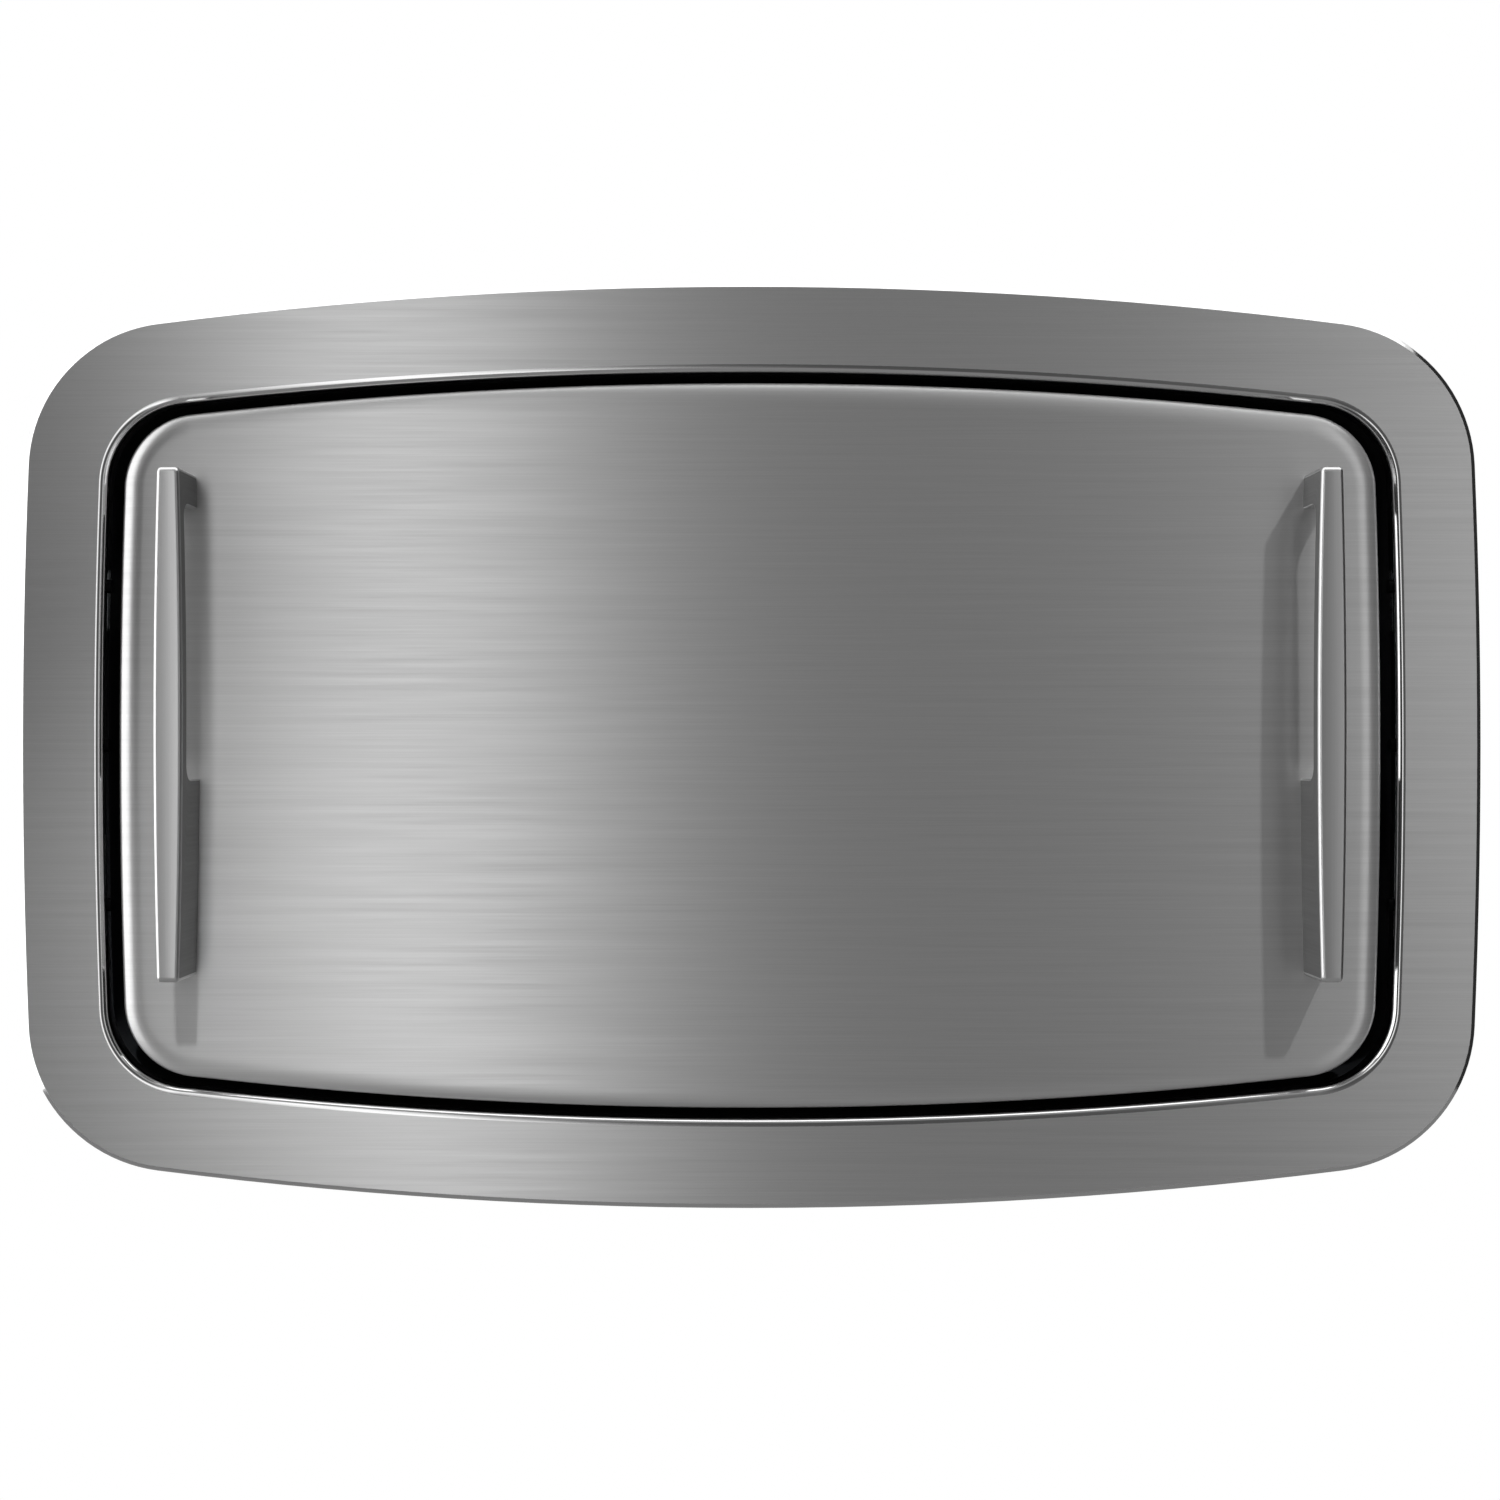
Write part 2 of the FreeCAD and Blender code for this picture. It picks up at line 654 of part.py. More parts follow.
def make_wall_box():
    """Moulded box: a lip on the wall, walls, a floor with ribs and four bolt bosses behind."""
    body = new_body("wall_box")
    shell = wall_sketch(body, "box_shell", "frame_back_y")
    draw_outline(shell, "shell")
    pad_back(body, shell, "box_depth - frame_back_y")
    lip = wall_sketch(body, "box_lip", "frame_back_y")
    draw_outline(lip, "lip")
    pad_back(body, lip, "-frame_back_y")
    cavity = wall_sketch(body, "box_cavity", "frame_back_y")
    draw_outline(cavity, "cavity")
    pocket_back(body, cavity, "box_floor_y - frame_back_y")
    upright = wall_sketch(body, "box_upright_ribs", "box_depth")
    for step in RIBS_ACROSS:
        middle = "%d * rib_pitch" % step
        draw_rectangle(upright, middle + " - rib_thickness / 2", "-rib_half_height",
                       middle + " + rib_thickness / 2", "rib_half_height")
    pad_back(body, upright, "rib_height")
    level = wall_sketch(body, "box_level_ribs", "box_depth")
    for step in UP_AND_DOWN:
        middle = "%d * bolt_spacing_z / 2" % step
        draw_rectangle(level, "-rib_half_width", middle + " - rib_thickness / 2",
                       "rib_half_width", middle + " + rib_thickness / 2")
    pad_back(body, level, "rib_height")
    bosses = wall_sketch(body, "box_bosses", "box_depth")
    holes = wall_sketch(body, "box_bolt_holes", "box_floor_y - overrun")
    for across in UP_AND_DOWN:
        for up in UP_AND_DOWN:
            place = ("%d * bolt_spacing_x / 2" % across, "%d * bolt_spacing_z / 2" % up)
            draw_circle(bosses, *place, "bolt_boss_radius")
            draw_circle(holes, *place, "bolt_hole_radius")
    pad_back(body, bosses, "rib_height")
    pocket_back(body, holes, "box_wall + rib_height + 2 * overrun")
    small = wall_sketch(body, "box_screw_holes", "box_floor_y - overrun")
    for x, z, carried in bracket_screw_places():
        draw_circle(small, x, z, "screw_hole_radius")
    pocket_back(body, small, "box_wall + rib_height + 2 * overrun")
    sides = side_sketch(body, "box_side_holes", "0")
    for step in (-1, 0, 1):
        draw_circle(sides, "collar_screw_y", "%d * collar_screw_pitch" % step, "screw_hole_radius")
    add_feature(body, "Pocket", sides, "2 * (shell_half_width + overrun)", both_ways=True)
    dress_edges(body, "Fillet", "box_floor_fillet", "box_floor_round",
                lambda edge: flat_at(edge, "box_floor_y") and edge.Length > value("mouth_corner_radius"))


def mirror(name, source):
    """The same piece on the left, mirrored in the middle plane."""
    twin = doc.addObject("Part::Mirroring", name)
    twin.Source = source
    twin.Normal = FreeCAD.Vector(1, 0, 0)
    return twin


def make_frame_screws():
    """Screws from the collar into the box sides, hidden beside the door."""
    right = []
    for step in (-1, 0, 1):
        z = "%d * collar_screw_pitch" % step
        x = "mouth_half_width - mouth_side_radius + sqrt(mouth_side_radius ^ 2 - (%s) ^ 2) - lay_gap" % z
        right.append(screw("collar_screw_%d" % (step + 1), "x", x, "collar_screw_y", z, "screw_head",
                           "frame_sheet + box_play + box_wall"))
    left = [mirror(one.Name + "_left", one) for one in right]
    keep("frame_screws", group("frame_screws", right + left))


def make_hinge_brackets():
    """Steel brackets on the box floor: two arms that carry the hinge rod, with a stop between."""
    for place, step in STATIONS.items():
        name = "hinge_bracket_" + place
        middle = "%d * hinge_pitch" % step
        solids = [box(name + "_base", middle + " - bracket_half_width", "box_floor_y - bracket_base",
                      "hinge_z - bracket_below", "2 * bracket_half_width", "bracket_base",
                      "bracket_below + bracket_above")]
        for side in UP_AND_DOWN:
            low = middle + " + %d * (arm_gap + arm_thickness) / 2 - arm_thickness / 2" % side
            tag = "%s_%s" % (name, "near" if side < 0 else "far")
            solids.append(box(tag + "_arm", low, "hinge_y", "hinge_z - arm_below", "arm_thickness",
                              "box_floor_y - bracket_base - hinge_y", "arm_below + arm_above"))
            solids.append(cylinder(tag + "_boss", "x", low, "hinge_y", "hinge_z", "arm_boss_radius",
                                   "arm_thickness"))
        solids.append(box(name + "_stop", middle + " - arm_gap / 2", "hinge_y + stop_near",
                          "hinge_z + lug_half + stop_play", "arm_gap", "stop_far - stop_near",
                          "arm_above - lug_half - stop_play"))
        tools = [cylinder(name + "_bore", "x", middle + " - bracket_half_width", "hinge_y", "hinge_z",
                          "rod_radius + running_play", "2 * bracket_half_width")]
        for count, (across, up) in enumerate(BRACKET_SCREWS):
            x = middle + " + %d * (bracket_half_width - screw_edge)" % across
            high = "hinge_z + bracket_above - screw_edge"
            low = "hinge_z - bracket_below + screw_edge"
            tools.append(cylinder("%s_hole_%d" % (name, count), "y", x,
                                  "box_floor_y - bracket_base - overrun",
                                  high if up else low, "screw_hole_radius", "bracket_base + 2 * overrun"))
        keep(name, cut(name, fuse(name + "_solid", solids), tools))


def make_bracket_screws():
    """Screws from the brackets and the compartment into the box floor."""
    screws = []
    for count, (x, z, carried) in enumerate(bracket_screw_places()):
        screws.append(screw("bracket_screw_%d" % count, "y", x, "box_floor_y - " + carried, z,
                            "screw_head", carried + " + box_wall"))
    keep("bracket_screws", group("bracket_screws", screws))


def make_hinge_rod():
    """The rod through all three brackets, and a retaining ring against each outer arm."""
    rod = cylinder("hinge_rod", "x", "-rod_length / 2", "hinge_y", "hinge_z", "rod_radius", "rod_length")
    keep("hinge_rod", rod)
    outer = "hinge_pitch + arm_outer + bush_end_play"
    disc = cylinder("ring_disc", "x", outer, "hinge_y", "hinge_z", "ring_radius", "ring_thickness")
    bore = cylinder("ring_bore", "x", outer + " - overrun", "hinge_y", "hinge_z",
                    "rod_radius + running_play", "ring_thickness + 2 * overrun")
    ring = cut("rod_ring", disc, [bore])
    keep("hinge_rod_rings", group("hinge_rod_rings", [ring, mirror("rod_ring_left", ring)]))


def make_strut_anchors():
    """Angle brackets on the box floor, each with the pin that carries a strut's upper eye."""
    plate = box("anchor_side", "anchor_plate_x", "anchor_y - anchor_reach", "anchor_z - anchor_half_height",
                "anchor_plate", "box_floor_y - anchor_y + anchor_reach", "2 * anchor_half_height")
    base = box("anchor_base", "anchor_plate_x + anchor_plate - anchor_base_length",
               "box_floor_y - anchor_plate", "anchor_z - anchor_half_height", "anchor_base_length",
               "anchor_plate", "2 * anchor_half_height")
    pin_start = "strut_x - strut_eye / 2 - strut_end_play"
    pin = cylinder("anchor_pin", "x", pin_start, "anchor_y", "anchor_z", "strut_pin_radius",
                   "anchor_plate_x - (%s) + lay_gap" % pin_start)
    tools = []
    for up in UP_AND_DOWN:
        tools.append(cylinder("anchor_hole_%d" % (up + 1), "y",
                              "anchor_plate_x + anchor_plate - anchor_base_length + screw_edge / 2",
                              "box_floor_y - anchor_plate - overrun",
                              "anchor_z + %d * (anchor_half_height - screw_edge / 2 - lay_gap)" % up,
                              "screw_hole_radius", "anchor_plate + 2 * overrun"))
    solid = fuse("anchor_solid", [plate, base, pin])
    right = keep("strut_anchor_right", cut("strut_anchor_right", solid, tools))
    keep("strut_anchor_left", mirror("strut_anchor_left", right))


def make_liner_compartment():
    """Open box for paper liners with grooved rails, and the cover that lifts in them."""
    case = box("liner_case", "-liner_half_width", "liner_front_y", "liner_bottom", "2 * liner_half_width",
               "liner_depth", "liner_height")
    inner = "liner_half_width - liner_rail"
    room = box("liner_room", "-(%s)" % inner, "liner_front_y - overrun", "liner_bottom + liner_wall",
               "2 * (%s)" % inner, "liner_depth - liner_wall + overrun", "liner_height - 2 * liner_wall")
    groove_half = inner + " + cover_bite"
    groove = box("liner_groove", "-(%s)" % groove_half, "cover_y - cover_play", "liner_bottom + cover_slot",
                 "2 * (%s)" % groove_half, "cover_sheet + 2 * cover_play",
                 "liner_height - cover_slot + overrun")
    tools = [room, groove]
    for across in UP_AND_DOWN:
        for up in UP_AND_DOWN:
            tools.append(cylinder("liner_hole_%d_%d" % (across + 1, up + 1), "y",
                                  "%d * (liner_half_width - liner_rail - 2 * screw_edge)" % across,
                                  "box_floor_y - liner_wall - overrun",
                                  "liner_bottom + liner_height / 2"
                                  " + %d * (liner_height / 2 - 2 * screw_edge)" % up,
                                  "screw_hole_radius", "liner_wall + 2 * overrun"))
    keep("liner_compartment", cut("liner_compartment", case, tools))
    cover_half = groove_half + " - cover_play"
    sheet_part = box("cover_plate", "-(%s)" % cover_half, "cover_y", "liner_bottom + cover_slot",
                     "2 * (%s)" % cover_half, "cover_sheet", "liner_height - cover_slot")
    pull = box("cover_pull_bar", "-cover_pull_half", "liner_front_y - cover_pull",
               "liner_bottom + cover_slot + cover_pull", "2 * cover_pull_half",
               "cover_y - liner_front_y + cover_pull", "cover_pull_height")
    keep("liner_cover", fuse("liner_cover", [sheet_part, pull]))


def make_bumpers():
    """Rubber posts on the box floor that the closed tray rim comes to rest against."""
    posts = []
    for side in UP_AND_DOWN:
        for height in ("bumper_top", "bumper_bottom"):
            posts.append(cylinder("%s_%d" % (height, side + 1), "y", "%d * bumper_x" % side,
                                  "tray_rim_y + bumper_play", height, "bumper_radius",
                                  "box_floor_y - tray_rim_y - bumper_play"))
    keep("rubber_bumpers", group("rubber_bumpers", posts))


make_wall_box()
make_frame_screws()
make_hinge_brackets()
make_bracket_screws()
make_hinge_rod()
make_strut_anchors()
make_liner_compartment()
make_bumpers()


# Pieces of the bed, which folds down about the hinge rod


def handle_screw_heights():
    """Z formulas of the screws in a handle's feet."""
    return ["(handle_top + grip_top) / 2", "grip_bottom - handle_bar", "handle_bottom + handle_bar"]


def shell_out(body, name, wall, alias):
    """Hollow a solid to a wall, open at its flat face at that Y."""
    doc.recompute()
    base = body.Tip
    faces = []
    for count, face in enumerate(base.Shape.Faces):
        bound = face.BoundBox
        if max(abs(bound.YMin - value(alias)), abs(bound.YMax - value(alias))) < SAME_PLACE:
            faces.append("Face%d" % (count + 1))
    before = body.Shape.Volume
    feature = body.newObject("PartDesign::Thickness", name)
    feature.Base = (base, faces)
    feature.Reversed = True
    feature.Join = "Intersection"
    bind(feature, "Value", wall)
    doc.recompute()
    if body.Shape.Volume >= before:
        raise RuntimeError("%s hollowed nothing" % name)


def make_door_skin():
    """Formed steel pan: a flat face whose edge rolls back all round."""
    body = new_body("door_skin")
    face = wall_sketch(body, "door_face", "door_front_y")
    draw_outline(face, "door")
    pad_back(body, face, "door_depth")
    dress_edges(body, "Fillet", "door_roll", "door_roll_radius", lambda edge: flat_at(edge, "door_front_y"))
    shell_out(body, "door_sheet_shell", "door_sheet", "door_edge_y")
    holes = wall_sketch(body, "door_screw_holes", "door_front_y - overrun")
    for side in UP_AND_DOWN:
        for height in handle_screw_heights():
            draw_circle(holes, "%d * handle_x" % side, height, "screw_hole_radius")
    pocket_back(body, holes, "door_sheet + 2 * overrun")


def ear_screw_places():
    """X and Y formulas of the screws that hold the hinge ears to the tray."""
    places = []
    for step in STATIONS.values():
        for across in UP_AND_DOWN:
            x = "%d * hinge_pitch + %d * (ear_foot_half_width - screw_edge + lug_half)" % (step, across)
            places.append((x, "hinge_y - ear_foot_front + screw_edge"))
            places.append((x, "hinge_y + ear_foot_back - screw_edge"))
    return places


def form_tray(body, name, front, floor, grown):
    """A block with a drafted basin: the tray's outside, or the hollow inside its wall."""
    rim = {"tray": "tray_rim_y", "hollow": "hollow_rim_y"}[name]
    bottom = name + "_bottom"
    block = wall_sketch(body, name + "_block", front)
    draw_outline(block, name)
    pad_back(body, block, "%s - (%s)" % (rim, front))
    trim = wall_sketch(body, name + "_trim", front + " - overrun")
    draw_rectangle(trim, "-%s_half_width - overrun" % name, "-%s_half_height - overrun" % name,
                   "%s_half_width + overrun" % name, bottom)
    pocket_back(body, trim, "%s - (%s) + 2 * overrun" % (rim, front))
    dress_edges(body, "Fillet", name + "_lower_corners", name + "_corner_radius",
                lambda edge: edge.BoundBox.YLength > value("basin_depth") and
                abs(middle_of(edge).z - value(bottom)) < SAME_PLACE)
    basin = wall_sketch(body, name + "_basin", rim)
    draw_rectangle(basin, "-basin_half_width - " + grown, "basin_bottom - " + grown,
                   "basin_half_width + " + grown, "basin_top + " + grown)
    pocket = add_feature(body, "Pocket", basin, "%s - %s" % (rim, floor), reverse=True)
    bind(pocket, "TaperAngle", "-basin_draft")
    doc.recompute()
    dress_edges(body, "Fillet", name + "_basin_corners", "basin_corner_radius + " + grown,
                lambda edge: abs(edge.BoundBox.YMin - value(floor)) < SAME_PLACE and
                abs(edge.BoundBox.YMax - value(rim)) < SAME_PLACE)
    dress_edges(body, "Fillet", name + "_floor_fillet", "basin_floor_round + " + grown,
                lambda edge: flat_at(edge, floor))


def make_bed_tray():
    """Moulded bed: a skirt on the door skin, a flat rim and a concave basin for the child."""
    outside = doc.addObject("PartDesign::Body", "tray_outside")
    form_tray(outside, "tray", "skin_back_y", "basin_floor_y", "0")
    dress_edges(outside, "Fillet", "tray_rim_rounds", "rim_edge_round",
                lambda edge: flat_at(edge, "tray_rim_y"))
    inside = doc.addObject("PartDesign::Body", "tray_inside")
    form_tray(inside, "hollow", "hollow_front_y", "hollow_floor_y", "tray_wall")
    tools = [inside]
    for count, (x, y) in enumerate(ear_screw_places()):
        tools.append(cylinder("tray_ear_hole_%d" % count, "z", x, y, "tray_bottom - overrun",
                              "screw_hole_radius", "tray_wall + 2 * overrun"))
    tools.append(cylinder("tray_stud_holes", "x", "-tray_half_width - overrun", "stud_y", "stud_z",
                          "strut_pin_radius + lay_gap", "2 * (tray_half_width + overrun)"))
    keep("bed_tray", cut("bed_tray", outside, tools))


def make_handles():
    """Bowed bar handles: a lens outline from the front, a grip opening from the side."""
    body = new_body("handle_right")
    front = wall_sketch(body, "handle_front", "handle_front_y")
    draw_lens(front)
    pad_back(body, front, "handle_stand")
    grip = side_sketch(body, "handle_grip", "0")
    draw_rectangle(grip, "handle_front_y + handle_bar", "grip_bottom", "door_front_y + overrun", "grip_top")
    add_feature(body, "Pocket", grip, "2 * (handle_x + handle_width)", both_ways=True)
    bar_back = value("handle_front_y") + value("handle_bar")
    dress_edges(body, "Fillet", "handle_grip_rounds", "grip_round",
                lambda edge: abs(middle_of(edge).y - bar_back) < SAME_PLACE and
                edge.BoundBox.YLength < SAME_PLACE and edge.BoundBox.ZLength < SAME_PLACE)
    dress_edges(body, "Fillet", "handle_end_rounds", "handle_end_round",
                lambda edge: flat_at(edge, "handle_front_y") and edge.BoundBox.ZLength < SAME_PLACE)
    dress_edges(body, "Fillet", "handle_front_rounds", "handle_edge_round",
                lambda edge: flat_at(edge, "handle_front_y") and edge.BoundBox.ZLength > SAME_PLACE)
    holes = wall_sketch(body, "handle_screw_holes", "door_front_y + overrun")
    for height in handle_screw_heights():
        draw_circle(holes, "handle_x", height, "screw_hole_radius")
    add_feature(body, "Pocket", holes, "screw_grip + 2 * overrun", reverse=True)
    keep("handle_left", mirror("handle_left", body))


def draw_lens(sketch):
    """A tall outline between two straight ends, its sides two wide arcs."""
    centre, half = value("handle_x"), value("handle_half_length")
    middle = value("handle_middle")
    rise = (value("handle_width") - value("handle_end_width")) / 2
    radius = (half ** 2 + rise ** 2) / (2 * rise)
    end_half = value("handle_end_width") / 2
    offset = value("handle_width") / 2 - radius
    spread = math.asin(half / radius)
    right = Part.Circle(FreeCAD.Vector(centre + offset, middle, 0), FreeCAD.Vector(0, 0, 1), radius)
    left = Part.Circle(FreeCAD.Vector(centre - offset, middle, 0), FreeCAD.Vector(0, 0, 1), radius)
    corners = [(centre + end_half, middle - half), (centre + end_half, middle + half),
               (centre - end_half, middle + half), (centre - end_half, middle - half)]
    points = [FreeCAD.Vector(x, z, 0) for x, z in corners]
    sketch.addGeometry(Part.ArcOfCircle(right, -spread, spread), False)
    sketch.addGeometry(Part.LineSegment(points[1], points[2]), False)
    sketch.addGeometry(Part.ArcOfCircle(left, math.pi - spread, math.pi + spread), False)
    sketch.addGeometry(Part.LineSegment(points[3], points[0]), False)
    for step in range(4):
        sketch.addConstraint(Sketcher.Constraint("Coincident", step, 2, (step + 1) % 4, 1))
    formulas = [("handle_x + handle_end_width / 2", "handle_bottom"),
                ("handle_x + handle_end_width / 2", "handle_top"),
                ("handle_x - handle_end_width / 2", "handle_top"),
                ("handle_x - handle_end_width / 2", "handle_bottom")]
    for step, (x, z) in enumerate(formulas):
        pin_point(sketch, step, 1, x, z, *corners[step])
    rise_formula = "((handle_width - handle_end_width) / 2)"
    bow_formula = "(handle_half_length ^ 2 + %s ^ 2) / (2 * %s)" % (rise_formula, rise_formula)
    for step in (0, 2):
        set_size(sketch, sketch.addConstraint(Sketcher.Constraint("Radius", step, radius)), bow_formula)


def make_handle_fixings():
    """A backing strip behind the skin for each handle, and the screws through it into the feet."""
    low = "handle_bottom + handle_bar - backing_half_width"
    high = "(handle_top + grip_top) / 2 + backing_half_width"
    strip = box("backing_strip", "handle_x - backing_half_width", "skin_back_y", low,
                "2 * backing_half_width", "backing_plate", "%s - (%s)" % (high, low))
    holes = []
    screws = []
    for count, height in enumerate(handle_screw_heights()):
        holes.append(cylinder("backing_hole_%d" % count, "y", "handle_x", "skin_back_y - overrun", height,
                              "screw_hole_radius", "backing_plate + 2 * overrun"))
        head = cylinder("handle_screw_head_%d" % count, "y", "handle_x", "skin_back_y + backing_plate",
                        height, "screw_head_radius", "screw_head")
        shank = cylinder("handle_screw_shank_%d" % count, "y", "handle_x",
                         "skin_back_y - door_sheet - screw_grip", height, "screw_radius",
                         "screw_grip + door_sheet + backing_plate")
        screws.append(fuse("handle_screw_%d" % count, [head, shank]))
    right = keep("handle_backing_right", cut("handle_backing_right", strip, holes))
    keep("handle_backing_left", mirror("handle_backing_left", right))
    twins = [mirror(one.Name + "_left", one) for one in screws]
    keep("handle_screws", group("handle_screws", screws + twins))


def make_hinge_ears():
    """Ears under the tray that turn on the rod in nylon bushes, each with a stop lug."""
    bushes = []
    for place, step in STATIONS.items():
        name = "bed_hinge_ear_" + place
        middle = "%d * hinge_pitch" % step
        low = middle + " - ear_thickness / 2"
        solids = [
            cylinder(name + "_boss", "x", low, "hinge_y", "hinge_z", "ear_boss_radius", "ear_thickness"),
            box(name + "_web", low, "hinge_y - ear_web_half", "hinge_z", "ear_thickness",
                "2 * ear_web_half", "tray_bottom_gap - ear_foot"),
            box(name + "_foot", middle + " - ear_foot_half_width", "hinge_y - ear_foot_front",
                "tray_bottom - ear_foot", "2 * ear_foot_half_width", "ear_foot_front + ear_foot_back",
                "ear_foot"),
            box(name + "_lug", low, "hinge_y - lug_half", "hinge_z - lug_length", "ear_thickness",
                "2 * lug_half", "lug_length"),
        ]
        tools = [cylinder(name + "_bore", "x", low + " - overrun", "hinge_y", "hinge_z",
                          "bush_radius + running_play", "ear_thickness + 2 * overrun")]
        for count, (x, y) in enumerate(ear_screw_places()):
            if count // 4 == step + 1:
                tools.append(cylinder("%s_hole_%d" % (name, count), "z", x, y,
                                      "tray_bottom - ear_foot - overrun", "screw_hole_radius",
                                      "ear_foot + 2 * overrun"))
        keep(name, cut(name, fuse(name + "_solid", solids), tools))
        start = middle + " - arm_gap / 2 + bush_end_play"
        sleeve = cylinder("bush_sleeve_" + place, "x", start, "hinge_y", "hinge_z", "bush_radius",
                          "arm_gap - 2 * bush_end_play")
        bore = cylinder("bush_bore_" + place, "x", start + " - overrun", "hinge_y", "hinge_z",
                        "rod_radius + running_play", "arm_gap + 2 * overrun")
        bushes.append(cut("bush_" + place, sleeve, [bore]))
    keep("hinge_bushes", group("hinge_bushes", bushes))
    screws = []
    for count, (x, y) in enumerate(ear_screw_places()):
        screws.append(screw("ear_screw_%d" % count, "z", x, y, "tray_bottom - ear_foot", "screw_head",
                            "ear_foot + tray_wall"))
    keep("ear_screws", group("ear_screws", screws))


def make_strut_studs():
    """Studs through the tray's skirt that the struts' lower eyes reach."""
    inner = "stud_wall_x - tray_wall - lay_gap"
    nut = cylinder("stud_nut_round", "x", inner + " - stud_nut", "stud_y", "stud_z", "stud_nut_radius",
                   "stud_nut")
    flange = cylinder("stud_flange_round", "x", "stud_wall_x + lay_gap", "stud_y", "stud_z",
                      "stud_flange_radius", "stud_flange")
    shank = cylinder("stud_shank", "x", inner + " - stud_nut", "stud_y", "stud_z", "strut_pin_radius",
                     "strut_x - strut_eye / 2 - strut_end_play - (%s - stud_nut)" % inner)
    right = keep("strut_stud_right", fuse("strut_stud_right", [nut, flange, shank]))
    keep("strut_stud_left", mirror("strut_stud_left", right))


def make_straps():
    """Webbing across the basin: one end carries the buckle, the other runs through it to a tail."""
    lower = new_body("strap_lower")
    path = side_sketch(lower, "strap_lower_side", "-strap_width / 2")
    draw_rectangle(path, "strap_y", "strap_bottom", "strap_y + strap_thickness", "buckle_length / 2")
    add_feature(lower, "Pad", path, "strap_width")
    upper = new_body("strap_upper")
    side = side_sketch(upper, "strap_upper_side", "-strap_width / 2")
    start = "buckle_length / 2 + strap_lift_run"
    end = "-buckle_length / 2"
    below = [("strap_y", "strap_top"), ("strap_y", start), ("over_y", "buckle_length / 2"),
             ("over_y", end), ("tail_y", end + " - strap_lift_run"), ("tail_y", "strap_tail")]
    above = [(y + " + strap_thickness", z) for y, z in reversed(below)]
    draw_polygon(side, below + above)
    add_feature(upper, "Pad", side, "strap_width")
    caps = []
    for name in ("strap_top", "strap_bottom"):
        cap = box(name + "_cap", "-anchor_cap_width / 2", "strap_y", name + " - anchor_cap_length / 2",
                  "anchor_cap_width", "anchor_cap", "anchor_cap_length")
        slot = box(name + "_slot", "-strap_width / 2 - buckle_side_play", "strap_y - overrun",
                   name + " - anchor_cap_length", "strap_width + 2 * buckle_side_play",
                   "strap_thickness + lay_gap + overrun", "2 * anchor_cap_length")
        caps.append(cut(name + "_anchor", cap, [slot]))
    keep("strap_anchors", group("strap_anchors", caps))


def make_buckle():
    """Cam buckle: a plate with two cheeks, a pin between them and the lever that clamps the strap."""
    plate = box("buckle_plate", "-buckle_half_width", "buckle_y", "-buckle_length / 2",
                "2 * buckle_half_width", "buckle_sheet", "buckle_length")
    cheeks = []
    for side in ("-buckle_half_width", "buckle_inner_half"):
        cheeks.append(box("buckle_cheek_%d" % len(cheeks), side, "buckle_y", "-buckle_length / 2",
                          "buckle_cheek", "buckle_cheek_height", "buckle_length"))
    bore = cylinder("buckle_bore", "x", "-buckle_half_width - overrun", "pin_y", "0",
                    "buckle_pin_radius + running_play", "2 * (buckle_half_width + overrun)")
    keep("buckle_frame", cut("buckle_frame", fuse("buckle_solid", [plate] + cheeks), [bore]))
    keep("buckle_pin", cylinder("buckle_pin", "x", "-buckle_half_width", "pin_y", "0", "buckle_pin_radius",
                                "2 * buckle_half_width"))
    half = "(buckle_inner_half - bush_end_play)"
    barrel = cylinder("lever_barrel", "x", "-" + half, "pin_y", "0", "lever_barrel_radius", "2 * " + half)
    blade = box("lever_blade", "-" + half, "pin_y + lever_barrel_radius - lever_sheet", "-lever_length",
                "2 * " + half, "lever_sheet", "lever_length")
    hole = cylinder("lever_hole", "x", "-buckle_half_width", "pin_y", "0", "buckle_pin_radius + running_play",
                    "2 * buckle_half_width")
    keep("buckle_lever", cut("buckle_lever", fuse("lever_solid", [barrel, blade]), [hole]))


